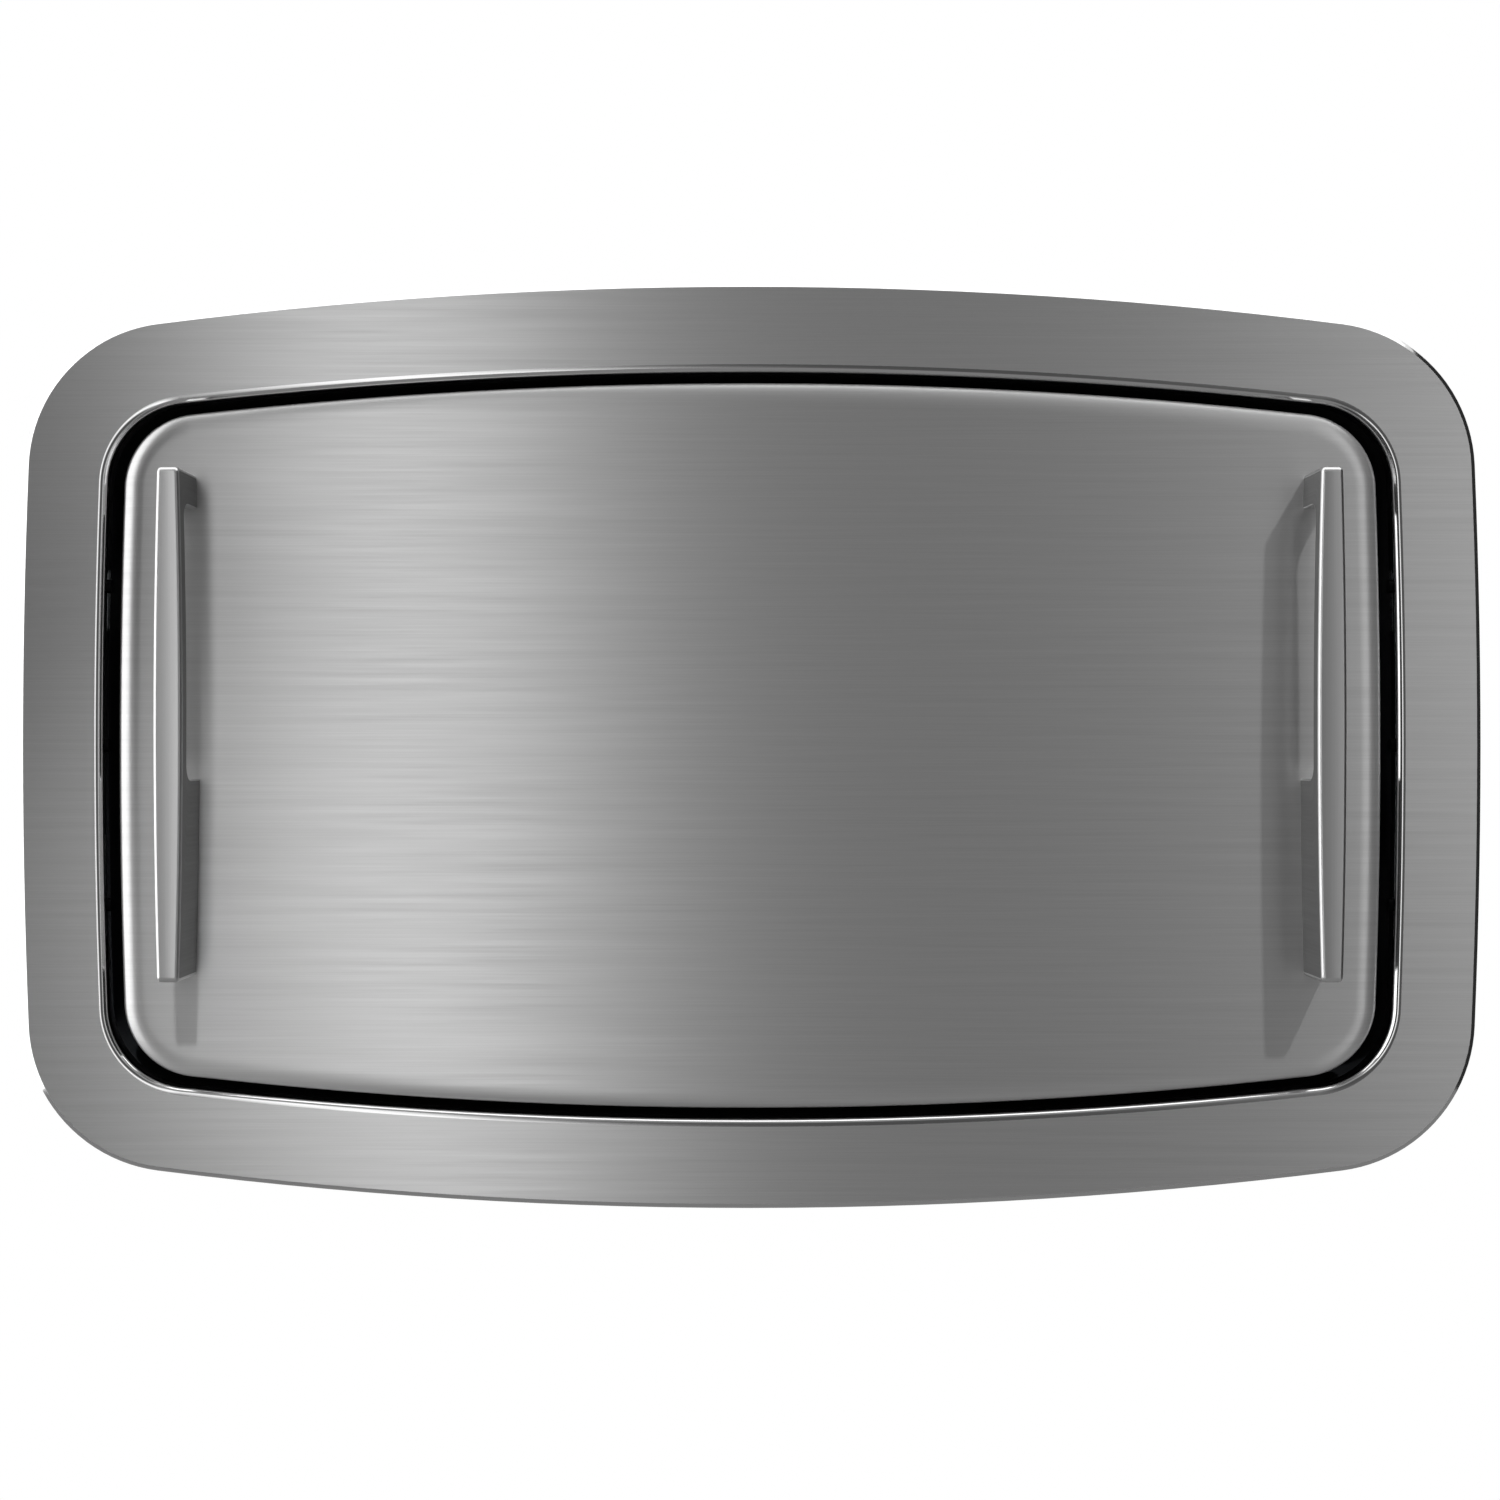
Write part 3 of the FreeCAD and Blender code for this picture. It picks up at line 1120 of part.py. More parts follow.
def make_struts():
    """Gas struts, drawn hanging straight down from the anchor pin and then tilted to the stud."""
    zero = ("0", "0")
    eye = cylinder("strut_upper_eye", "x", "-strut_eye / 2", *zero, "strut_eye_radius", "strut_eye")
    tube = cylinder("strut_tube", "z", *zero, "-strut_tube_end", "strut_tube_radius",
                    "strut_tube_end - strut_tube_start")
    room_radius = "strut_tube_radius - strut_tube_wall"
    tools = [
        cylinder("strut_upper_bore", "x", "-strut_eye", *zero, "strut_pin_radius + running_play",
                 "2 * strut_eye"),
        cylinder("strut_room", "z", *zero, "strut_guide - strut_tube_end", room_radius,
                 "strut_tube_end - strut_guide - strut_bore_start"),
        cylinder("strut_guide_bore", "z", *zero, "-strut_tube_end - overrun",
                 "strut_rod_radius + running_play", "strut_guide + 2 * overrun"),
    ]
    body = cut("strut_cylinder_right", fuse("strut_tube_solid", [eye, tube]), tools)
    piston = cylinder("strut_piston_disc", "z", *zero, "-strut_piston_at - strut_piston",
                      room_radius + " - running_play", "strut_piston")
    rod = cylinder("strut_rod_bar", "z", *zero, "-closed_length", "strut_rod_radius",
                   "closed_length - strut_piston_at")
    foot = cylinder("strut_lower_eye", "x", "-strut_eye / 2", "0", "-closed_length", "strut_eye_radius",
                    "strut_eye")
    hole = cylinder("strut_lower_bore", "x", "-strut_eye", "0", "-closed_length",
                    "strut_pin_radius + running_play", "2 * strut_eye")
    slider = cut("strut_rod_right", fuse("strut_rod_solid", [piston, rod, foot]), [hole])
    for name, piece in (("strut_cylinder", body), ("strut_rod", slider)):
        piece.Placement = FreeCAD.Placement(FreeCAD.Vector(), FreeCAD.Rotation(FreeCAD.Vector(1, 0, 0), -1))
        bind(piece, "Placement.Rotation.Angle", "-closed_angle")
        bind(piece, "Placement.Base.x", "strut_x")
        bind(piece, "Placement.Base.y", "anchor_y")
        bind(piece, "Placement.Base.z", "anchor_z")
        keep(name + "_right", piece)
        keep(name + "_left", mirror(name + "_left", piece))


make_door_skin()
make_bed_tray()
make_handles()
make_handle_fixings()
make_hinge_ears()
make_strut_studs()
make_straps()
make_buckle()
make_struts()

# Check every object, then write one file for each sub-part

doc.removeObject(scratch_sheet.Name)
doc.recompute()
for thing in doc.Objects:
    if "Invalid" in thing.State or "Error" in thing.State:
        raise RuntimeError("%s failed: %s" % (thing.Label, thing.State))
for label, piece in pieces.items():
    if piece.Shape.isNull() or not piece.Shape.isValid():
        raise RuntimeError("%s has no valid shape" % label)

os.makedirs("parts", exist_ok=True)
for label, piece in pieces.items():
    piece.Shape.exportStep("parts/%s.step" % label)
strut_travel = value("open_length") - value("closed_length")
strut_swing = value("open_angle") - value("closed_angle")
print("%d sub-parts; strut travel %.4f mm, swing %.5f degrees" % (len(pieces), strut_travel, strut_swing))
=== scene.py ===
# %% [markdown]
# # A wall-recessed baby changing station
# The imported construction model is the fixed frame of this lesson: every piece made here sits where
# the model says, in metres, with X to the right, Y into the wall and Z up. The origin is the middle
# of the opening, on the wall plane. The steel that shows in the room gets surfaces of its own,
# because brushed metal needs a map of its brushing direction. The mechanism keeps the model's shapes
# and gets its finishes here.

import bpy
import numpy as np
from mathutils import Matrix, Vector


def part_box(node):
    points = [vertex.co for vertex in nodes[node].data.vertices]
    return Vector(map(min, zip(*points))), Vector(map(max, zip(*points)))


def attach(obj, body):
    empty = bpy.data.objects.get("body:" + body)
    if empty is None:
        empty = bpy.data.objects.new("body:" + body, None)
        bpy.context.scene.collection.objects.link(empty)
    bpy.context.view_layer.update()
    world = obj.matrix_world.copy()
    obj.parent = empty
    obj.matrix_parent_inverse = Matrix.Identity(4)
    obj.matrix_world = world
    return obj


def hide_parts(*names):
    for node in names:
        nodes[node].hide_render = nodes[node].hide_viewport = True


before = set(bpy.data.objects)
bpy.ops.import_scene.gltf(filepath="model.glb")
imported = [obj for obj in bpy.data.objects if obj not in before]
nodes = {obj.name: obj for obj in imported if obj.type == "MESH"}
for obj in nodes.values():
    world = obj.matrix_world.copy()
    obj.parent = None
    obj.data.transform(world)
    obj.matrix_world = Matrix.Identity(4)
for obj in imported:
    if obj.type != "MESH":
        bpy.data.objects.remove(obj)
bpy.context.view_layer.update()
MM = 0.001


def frame_box(node):
    """Lowest and highest corner of a node as two arrays, in metres."""
    low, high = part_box(node)
    return np.array(low), np.array(high)


# %% [markdown]
# ## Camera
# The photograph looks straight at the door, so the camera stands on the Y axis. How much larger the
# handles look than the door behind them gives its distance. The width of the flange in the picture
# then gives the lens. The flange is widest at its outer edge, so the lens is worked out there.

# %% Camera
PHOTO_SIDE = 1500
FLANGE_WIDTH_PX = 1459
CENTRE_PX = 745.5
CAMERA_DISTANCE = 1.28
CLIP_START = 0.01
SENSOR_WIDTH = 36.0

flange_low, flange_high = frame_box("flange_frame")
flange_width = flange_high[0] - flange_low[0]
flange_front = flange_low[1]
metres_per_pixel = flange_width / FLANGE_WIDTH_PX
view_width = metres_per_pixel * PHOTO_SIDE
camera_drop = (PHOTO_SIDE / 2 - CENTRE_PX) * metres_per_pixel
edge_distance = CAMERA_DISTANCE + flange_high[1] - flange_front

camera_data = bpy.data.cameras.new("camera")
camera_data.sensor_width = SENSOR_WIDTH
camera_data.lens = SENSOR_WIDTH * edge_distance / view_width
camera_data.clip_start = CLIP_START
camera = bpy.data.objects.new("camera", camera_data)
camera.location = (0.0, flange_front - CAMERA_DISTANCE, -camera_drop)
camera.rotation_euler = (np.pi / 2, 0.0, 0.0)
bpy.context.scene.collection.objects.link(camera)
bpy.context.scene.camera = camera
print("camera lens %.1f mm at %.2f m" % (camera_data.lens, CAMERA_DISTANCE))

# %% [markdown]
# ## Colours and shader nodes
# Colours are written as the sRGB hex values that a paint card would give, and one function turns
# them to the linear numbers that shaders use. One small function adds any node, with its settings
# and its links, so a finish reads as a short list of steps.

# %% Colour and node helpers
WHITE = (1.0, 1.0, 1.0, 1.0)


def linear(hex_colour):
    """sRGB hex to linear RGBA: the standard curve, straight near black and a power above it."""
    channels = np.array([int(hex_colour[start:start + 2], 16) for start in (1, 3, 5)]) / 255.0
    low = channels / 12.92
    high = ((channels + 0.055) / 1.055) ** 2.4
    return tuple(np.where(channels <= 0.04045, low, high)) + (1.0,)


def add_node(material, kind, links=None, **settings):
    """Add a shader node; links maps an input to an output socket or to a plain value."""
    node = material.node_tree.nodes.new("ShaderNode" + kind)
    for name, setting in settings.items():
        setattr(node, name, setting)
    for name, source in (links or {}).items():
        if isinstance(source, bpy.types.NodeSocket):
            material.node_tree.links.new(source, node.inputs[name])
        else:
            node.inputs[name].default_value = source
    return node


def new_material(name):
    """An empty node material and its output node."""
    material = bpy.data.materials.new(name)
    material.use_nodes = True
    material.node_tree.nodes.clear()
    return material, add_node(material, "OutputMaterial")


def finish_material(material, output, shader):
    """Join a shader to the material's surface."""
    material.node_tree.links.new(shader.outputs[0], output.inputs["Surface"])
    return material


print("helpers: linear white is", linear("#ffffff"))

# %% [markdown]
# ## White ground and soft light
# The picture has a bare white ground. Lamps that make a floor so white would bleach the steel too.
# So the world is white to the camera, to mirror-like rays and through clear pieces only, and gives
# everything else a plain soft light. The floor is mostly the same white to the camera, with enough
# of its own paint near the part to hold a shadow. It fades out at its edge, so no horizon shows.

# %% World and floor
WORLD_SOFT_LIGHT, WORLD_WHITE = 0.45, 1.0
FLOOR_DROP, FLOOR_REACH = 1.1, 1.5
FLOOR_FADE_START = 0.5
FLOOR_WHITE = 0.7
LEVEL_AXES = (1.0, 1.0, 0.0)            # Keeps X and Y of a place.


def make_world():
    """White to camera, mirror and glass rays, and a plain soft light to the rest."""
    world = bpy.data.worlds.new("studio")
    bpy.context.scene.world = world
    world.use_nodes = True
    world.node_tree.nodes.clear()
    path = add_node(world, "LightPath")
    seen = add_node(world, "Math", {0: path.outputs["Is Camera Ray"], 1: path.outputs["Is Glossy Ray"]},
                    operation="MAXIMUM")
    through = add_node(world, "Math", {0: seen.outputs[0], 1: path.outputs["Is Transmission Ray"]},
                       operation="MAXIMUM")
    strength = add_node(world, "MapRange", {
        "Value": through.outputs[0], "To Min": WORLD_SOFT_LIGHT, "To Max": WORLD_WHITE})
    background = add_node(world, "Background", {"Color": WHITE, "Strength": strength.outputs[0]})
    output = add_node(world, "OutputWorld")
    world.node_tree.links.new(background.outputs[0], output.inputs["Surface"])


def make_card(name, corners, material):
    """A flat rectangle that belongs to the studio."""
    mesh = bpy.data.meshes.new(name)
    mesh.from_pydata([tuple(corner) for corner in corners], [], [(0, 1, 2, 3)])
    mesh.materials.append(material)
    card = bpy.data.objects.new(name, mesh)
    bpy.context.scene.collection.objects.link(card)
    return card


def floor_material():
    """Pale matt paint: mostly white to the camera, and all white where the distance is the reach."""
    material, output = new_material("pale matt floor")
    paint = add_node(material, "BsdfDiffuse", {"Color": linear("#f4f4f2")})
    white = add_node(material, "Emission", {"Color": WHITE, "Strength": WORLD_WHITE})
    place = add_node(material, "TexCoord")
    level = add_node(material, "VectorMath", {0: place.outputs["Object"], 1: LEVEL_AXES},
                     operation="MULTIPLY")
    away = add_node(material, "VectorMath", {0: level.outputs["Vector"]}, operation="LENGTH")
    fade = add_node(material, "MapRange", {
        "Value": away.outputs["Value"], "From Min": FLOOR_FADE_START, "From Max": FLOOR_REACH,
        "To Min": FLOOR_WHITE, "To Max": 1.0}, interpolation_type="SMOOTHSTEP")
    path = add_node(material, "LightPath")
    share = add_node(material, "Math", {0: path.outputs["Is Camera Ray"], 1: fade.outputs[0]},
                     operation="MULTIPLY")
    both = add_node(material, "MixShader", {
        0: share.outputs[0], 1: paint.outputs[0], 2: white.outputs[0]})
    return finish_material(material, output, both)


make_world()
make_card("floor", [(side * FLOOR_REACH, depth * FLOOR_REACH, -FLOOR_DROP)
                    for side, depth in ((-1, -1), (1, -1), (1, 1), (-1, 1))], floor_material())
bpy.context.scene.view_settings.view_transform = "Standard"
print("world and a floor of %.1f m" % (2 * FLOOR_REACH))

# %% [markdown]
# ## What the steel mirrors
# Brushed steel shows what stands opposite to it. Lamps could draw its bands, but a painted wall sets
# their place and softness directly. A wide grey wall stands behind the camera. One soft strip on it,
# left of the middle, draws the pale band across the door. A weaker one stands far to the right, and
# a dark cloth hangs far to the left. The strips lean a little, as the band does. Cards round the
# part light its edges: softboxes on the left and overhead make a rolled edge white where it looks
# that way, and flags on the right and below keep it dark elsewhere. All of them show in reflections
# only.

# %% Strip wall and cards
WALL_GREY = 0.090
# Each strip has its middle in X at the height of the origin, its width and its strength. The last is
# a dark cloth: its strength takes away the wall's own grey, and no more.
LIGHT_STRIPS = [(-0.64, 0.31, 1.45), (1.9, 0.65, 0.66), (-1.5, 0.60, -WALL_GREY)]
STRIP_SLANT = 0.10                      # How far a strip moves to the right for each metre down.
WALL_DISTANCE = 2.4
WALL_LEFT, WALL_RIGHT = -2.6, 9.0
WALL_LOW, WALL_HIGH = -9.0, 2.2
CARD_REACH = 2.0                        # Half height of the upright cards, half width of the level ones.
LEFT_CARD_X, RIGHT_CARD_X = -2.0, 2.2
TOP_CARD_Z, LOW_CARD_Z = 2.0, -1.0
LEFT_FRONT_EDGE, LOW_FRONT_EDGE = -1.9, -1.5
TOP_SPLIT = -0.9                        # Where the pale card overhead ends and the softbox begins.
BACK_EDGE = 1.6                         # How far behind the wall plane the cards run on.
LEFT_SOFTBOX_LIGHT, TOP_SOFTBOX_LIGHT = 2.0, 1.9
TOP_CARD_LIGHT, RIGHT_FLAG_LIGHT, LOW_FLAG_LIGHT = 0.35, 0.03, 0.26


def strip_wall_material():
    """Grey wall with light strips: each adds its strength times a bell curve of X, e^-(x/w)^2."""
    material, output = new_material("studio wall with soft light strips")
    place = add_node(material, "TexCoord")
    axes = add_node(material, "SeparateXYZ", {0: place.outputs["Object"]})
    across = add_node(material, "Math", {0: axes.outputs["Z"], 1: STRIP_SLANT, 2: axes.outputs["X"]},
                      operation="MULTIPLY_ADD")
    light = WALL_GREY
    for middle, width, strength in LIGHT_STRIPS:
        off = add_node(material, "Math", {0: across.outputs[0], 1: middle}, operation="SUBTRACT")
        share = add_node(material, "Math", {0: off.outputs[0], 1: width}, operation="DIVIDE")
        square = add_node(material, "Math", {0: share.outputs[0], 1: 2.0}, operation="POWER")
        fall = add_node(material, "Math", {0: square.outputs[0], 1: -1.0}, operation="MULTIPLY")
        bell = add_node(material, "Math", {0: np.e, 1: fall.outputs[0]}, operation="POWER")
        light = add_node(material, "Math", {0: bell.outputs[0], 1: strength, 2: light},
                         operation="MULTIPLY_ADD").outputs[0]
    glow = add_node(material, "Emission", {"Color": WHITE, "Strength": light})
    return finish_material(material, output, glow)


def even_card_material(name, light):
    """A card that glows the same all over."""
    material, output = new_material(name.replace("_", " "))
    glow = add_node(material, "Emission", {"Color": WHITE, "Strength": light})
    return finish_material(material, output, glow)


def make_side_card(name, across, front, back, light):
    """An upright card beside the part, from a front edge to a back edge in Y."""
    ends = [(front, -1), (back, -1), (back, 1), (front, 1)]
    return make_card(name, [(across, depth, rise * CARD_REACH) for depth, rise in ends],
                     even_card_material(name, light))


def make_level_card(name, height, front, back, light):
    """A level card over or under the part, from a front edge to a back edge in Y."""
    ends = [(-1, front), (1, front), (1, back), (-1, back)]
    return make_card(name, [(side * CARD_REACH, depth, height) for side, depth in ends],
                     even_card_material(name, light))


wall_ends = [(WALL_RIGHT, WALL_LOW), (WALL_LEFT, WALL_LOW),
             (WALL_LEFT, WALL_HIGH), (WALL_RIGHT, WALL_HIGH)]
mirrored = [
    make_card("strip_wall", [(across, -WALL_DISTANCE, rise) for across, rise in wall_ends],
              strip_wall_material()),
    make_side_card("left_softbox", LEFT_CARD_X, LEFT_FRONT_EDGE, BACK_EDGE, LEFT_SOFTBOX_LIGHT),
    make_side_card("right_flag", RIGHT_CARD_X, -WALL_DISTANCE, BACK_EDGE, RIGHT_FLAG_LIGHT),
    make_level_card("top_card", TOP_CARD_Z, -WALL_DISTANCE, TOP_SPLIT, TOP_CARD_LIGHT),
    make_level_card("top_softbox", TOP_CARD_Z, TOP_SPLIT, BACK_EDGE, TOP_SOFTBOX_LIGHT),
    make_level_card("low_flag", LOW_CARD_Z, LOW_FRONT_EDGE, BACK_EDGE, LOW_FLAG_LIGHT)]
for card in mirrored:
    card.visible_camera = False
    card.visible_diffuse = False
    card.visible_shadow = False
print("mirrored:", ", ".join(card.name for card in mirrored))

# %% [markdown]
# ## Lamps
# The handles throw sharp shadows on the door. The right one's falls to the left and far down, and
# the left one's falls straight down. One lamp can't do both, so each handle has a small lamp of its
# own with a narrow beam. Steel would mirror the lamps as hot spots, so mirror-like rays don't see
# them.

# %% Lamps
LAMP_SIZE = 0.07
RIGHT_LAMP_PLACE, RIGHT_LAMP_TARGET = (1.16, -1.25, 1.53), (0.37, 0.0, -0.10)
RIGHT_LAMP_WATTS, RIGHT_LAMP_BEAM = 2.9, 40
LEFT_LAMP_PLACE, LEFT_LAMP_TARGET = (-0.38, -0.90, 0.86), (-0.36, 0.0, -0.19)
LEFT_LAMP_WATTS, LEFT_LAMP_BEAM = 0.46, 18


def make_lamp(name, place, target, watts, beam):
    """A small square lamp that looks at a point; beam is the whole angle of its light, in degrees."""
    lamp_data = bpy.data.lights.new(name, "AREA")
    lamp_data.size = LAMP_SIZE
    lamp_data.energy = watts
    lamp_data.spread = np.radians(beam)
    lamp = bpy.data.objects.new(name, lamp_data)
    lamp.location = place
    away = np.array(place) - np.array(target)
    tilt = np.arctan2(np.hypot(away[0], away[1]), away[2])
    turn = np.arctan2(away[1], away[0]) + np.pi / 2
    lamp.rotation_euler = (tilt, 0.0, turn)
    lamp.visible_glossy = False
    bpy.context.scene.collection.objects.link(lamp)


make_lamp("right_lamp", RIGHT_LAMP_PLACE, RIGHT_LAMP_TARGET, RIGHT_LAMP_WATTS, RIGHT_LAMP_BEAM)
make_lamp("left_lamp", LEFT_LAMP_PLACE, LEFT_LAMP_TARGET, LEFT_LAMP_WATTS, LEFT_LAMP_BEAM)
print("lamps of %.2f and %.2f W" % (RIGHT_LAMP_WATTS, LEFT_LAMP_WATTS))

# %% [markdown]
# ## Stainless steel
# Abrasive belts leave fine straight scratches in the sheet, all one way. Across the scratches the
# light spreads wide and along them it stays tight, so the sheet needs an anisotropic shader and the
# direction of its scratches. Each steel piece carries a map named brush: U runs across the
# scratches and V along them, in metres, also where the sheet rolls over at an edge. The wide side
# of the highlight lies along the shader's tangent, so the tangent is U. The scratches themselves
# are noise drawn long in V and short in U. One function makes four finishes: the brushed sheet, its
# edges polished by the forming rolls, the handles' ground fronts and their rougher sides, painted darker
# as shade.

# %% Steel finishes
SCRATCH_LENGTH = 95 * MM
SCRATCH_WIDTH = 0.9 * MM                # Real scratches are 0.05 mm; drawn this coarse so that they show.
SCRATCH_DETAIL, SCRATCH_BUMP, SCRATCH_DEPTH = 4.0, 0.03, 0.2 * MM
CLOUD_LENGTH, CLOUD_WIDTH, CLOUD_DETAIL = 240 * MM, 5 * MM, 2.0
STREAK_LOW, STREAK_HIGH = 0.72, 1.28    # Where the sum of scratches and clouds mostly lies.
STREAK_SHEEN = 0.02                     # How far the roughness swings with the streaks.
DOOR_METAL = 0.87                       # Torn edges of the door's scratches scatter the rest.


def streaks(material, brush, length, width, detail):
    """Noise over the brush map, one cell long along V and one cell wide along U."""
    axes = add_node(material, "SeparateXYZ", {0: brush})
    across = add_node(material, "Math", {0: axes.outputs["X"], 1: 1 / width}, operation="MULTIPLY")
    along = add_node(material, "Math", {0: axes.outputs["Y"], 1: 1 / length}, operation="MULTIPLY")
    place = add_node(material, "CombineXYZ", {"X": across.outputs[0], "Y": along.outputs[0]})
    return add_node(material, "TexNoise", {"Vector": place.outputs[0], "Scale": 1.0, "Detail": detail})


def tinted(material, pattern, dark, pale, low, high):
    """A colour that goes from dark to pale as a pattern goes from low to high."""
    share = add_node(material, "MapRange", {"Value": pattern, "From Min": low, "From Max": high})
    mix = add_node(material, "Mix", {
        "Factor": share.outputs[0], "A": linear(dark), "B": linear(pale)}, data_type="RGBA")
    return mix.outputs["Result"]


def brushed_steel(name, dark, pale, rough, stretch, metal=1.0):
    """Bare steel with one scratch direction: colour, roughness and height all follow the streaks."""
    material, output = new_material(name)
    brush = add_node(material, "UVMap", uv_map="brush").outputs["UV"]
    fine = streaks(material, brush, SCRATCH_LENGTH, SCRATCH_WIDTH, SCRATCH_DETAIL)
    broad = streaks(material, brush, CLOUD_LENGTH, CLOUD_WIDTH, CLOUD_DETAIL)
    both = add_node(material, "Math", {0: fine.outputs["Fac"], 1: broad.outputs["Fac"]}, operation="ADD")
    gloss = add_node(material, "MapRange", {
        "Value": both.outputs[0], "From Min": STREAK_LOW, "From Max": STREAK_HIGH,
        "To Min": rough + STREAK_SHEEN, "To Max": rough - STREAK_SHEEN})
    bump = add_node(material, "Bump", {
        "Height": fine.outputs["Fac"], "Strength": SCRATCH_BUMP, "Distance": SCRATCH_DEPTH})
    tangent = add_node(material, "Tangent", direction_type="UV_MAP", uv_map="brush")
    shader = add_node(material, "BsdfPrincipled", {
        "Base Color": tinted(material, both.outputs[0], dark, pale, STREAK_LOW, STREAK_HIGH),
        "Metallic": metal, "Roughness": gloss.outputs[0], "Anisotropic": stretch,
        "Normal": bump.outputs[0], "Tangent": tangent.outputs[0]})
    return finish_material(material, output, shader)


door_steel = brushed_steel("stainless steel, belt brushed", "#c3c3c3", "#cdcdcd",
                           rough=0.32, stretch=0.72, metal=DOOR_METAL)
rim_steel = brushed_steel("stainless steel, bright rolled", "#d6d6d6", "#dcdcdc", rough=0.10, stretch=0.0)
handle_steel = brushed_steel("stainless steel, satin ground", "#d0d0d0", "#d8d8d8",
                             rough=0.30, stretch=0.4)
# Handle sides: rougher than the fronts, and painted darker to stand in for shade.
shaded_side_steel = brushed_steel("stainless steel, sides with painted shade", "#828282", "#8a8a8a", rough=0.48, stretch=0.2)
for steel in (door_steel, rim_steel, handle_steel, shaded_side_steel):
    print(steel.name)

# %% [markdown]
# ## One outline for frame and door
# The frame, its mouth and the door are all rectangles with bowed sides and round corners, so one
# function draws them: eight arcs, each tangent to the next. It gives the outward direction at each
# point too. A rim, a bevel or a roll is then the same outline moved in along those directions, and
# rings of it at different depths make a formed sheet.

# %% Outline and rings
SIDE_STEPS, CORNER_STEPS, BOW_STEPS = 14, 22, 28


def outline(half_width, half_height, bow, side, corner):
    """Points and outward directions of eight tangent arcs, as arrays of X and Z.

    A corner's centre lies bow - corner from the bow's centre and side - corner from the side's
    centre, so it is where those two circles cross.
    """
    bow_centre, side_centre = half_height - bow, half_width - side
    span = np.hypot(side_centre, bow_centre)
    along = ((bow - corner) ** 2 - (side - corner) ** 2 + span ** 2) / (2 * span)
    aside = np.sqrt((bow - corner) ** 2 - along ** 2)
    away_x, away_z = side_centre / span, -bow_centre / span
    corner_x = along * away_x + aside * away_z
    corner_z = bow_centre + along * away_z - aside * away_x
    tilt = np.arctan2(corner_x, corner_z - bow_centre)
    swing = np.arctan2(corner_z, corner_x - side_centre)
    quarter = np.pi / 2
    arcs = [(side_centre, 0, side, -swing, swing, SIDE_STEPS),
            (corner_x, corner_z, corner, swing, quarter - tilt, CORNER_STEPS),
            (0, bow_centre, bow, quarter - tilt, quarter + tilt, BOW_STEPS),
            (-corner_x, corner_z, corner, quarter + tilt, np.pi - swing, CORNER_STEPS),
            (-side_centre, 0, side, np.pi - swing, np.pi + swing, SIDE_STEPS),
            (-corner_x, -corner_z, corner, np.pi + swing, 3 * quarter - tilt, CORNER_STEPS),
            (0, -bow_centre, bow, 3 * quarter - tilt, 3 * quarter + tilt, BOW_STEPS),
            (corner_x, -corner_z, corner, 3 * quarter + tilt, 4 * quarter - swing, CORNER_STEPS)]
    points, directions = [], []
    for x, z, radius, start, end, steps in arcs:
        angle = np.linspace(start, end, steps, endpoint=False)
        direction = np.stack([np.cos(angle), np.sin(angle)], axis=1)
        directions.append(direction)
        points.append(np.array([x, z]) + radius * direction)
    return np.concatenate(points), np.concatenate(directions)


def ring_at(shape, inset, depth):
    """A ring of the outline, moved in by inset and set at a depth in Y."""
    points, directions = shape
    flat = points - inset * directions
    return np.stack([flat[:, 0], np.full(len(flat), depth), flat[:, 1]], axis=1)


def quarter_roll(width, depth, start, end, steps):
    """Inset and depth along an oval roll: inset W(1 - cos a) and depth D(1 - sin a).

    The angle a goes from start to end, in degrees.
    """
    angle = np.radians(np.linspace(start, end, steps))
    return width * (1 - np.cos(angle)), depth * (1 - np.sin(angle))


print("outline of", 2 * (SIDE_STEPS + BOW_STEPS) + 4 * CORNER_STEPS, "points")

# %% [markdown]
# ## From rings to a piece
# Every steel piece and both straps are a grid of rings. Faces join each ring to the next. An open
# end closes on a pole, or the last ring joins the first one again. The sign of the enclosed volume
# tells whether the faces look out, so no piece needs its normals recalculated. A finished piece then
# says which body it rides on and which nodes it stands in for.

# %% Mesh helpers
def grid_faces(rows, columns, wrap_rows=False):
    """Quads between the rows of a grid whose columns close into a ring."""
    row = np.arange(rows if wrap_rows else rows - 1)[:, None]
    column = np.arange(columns)[None, :]
    next_row, next_column = (row + 1) % rows, (column + 1) % columns
    corners = [row * columns + column, row * columns + next_column,
               next_row * columns + next_column, next_row * columns + column]
    return np.stack(corners, axis=-1).reshape(-1, 4)


def fan_faces(first, columns, pole):
    """Triangles from one ring of a grid to a pole vertex."""
    step = np.arange(columns)
    return np.stack([first + step, first + (step + 1) % columns, np.full(columns, pole)], axis=1)


def end_middles(rings):
    """The middles of the first and the last ring, as two poles."""
    return np.stack([rings[0].mean(axis=0), rings[-1].mean(axis=0)])


def capped(rings, poles):
    """Points and faces of a grid of rings whose first and last ring close on a pole each."""
    rows, columns = rings.shape[:2]
    points = np.concatenate([rings.reshape(-1, 3), poles])
    faces = [grid_faces(rows, columns), fan_faces(0, columns, rows * columns)[:, ::-1],
             fan_faces((rows - 1) * columns, columns, rows * columns + 1)]
    return points, faces


def signed_volume(points, faces):
    """Sum of the tetrahedra from the origin to each face's triangles: positive when faces look out."""
    total = 0.0
    for corners in faces:
        for second in range(1, corners.shape[1] - 1):
            a, b, c = points[corners[:, 0]], points[corners[:, second]], points[corners[:, second + 1]]
            total += np.einsum("ij,ij->i", a, np.cross(b, c)).sum() / 6
    return total


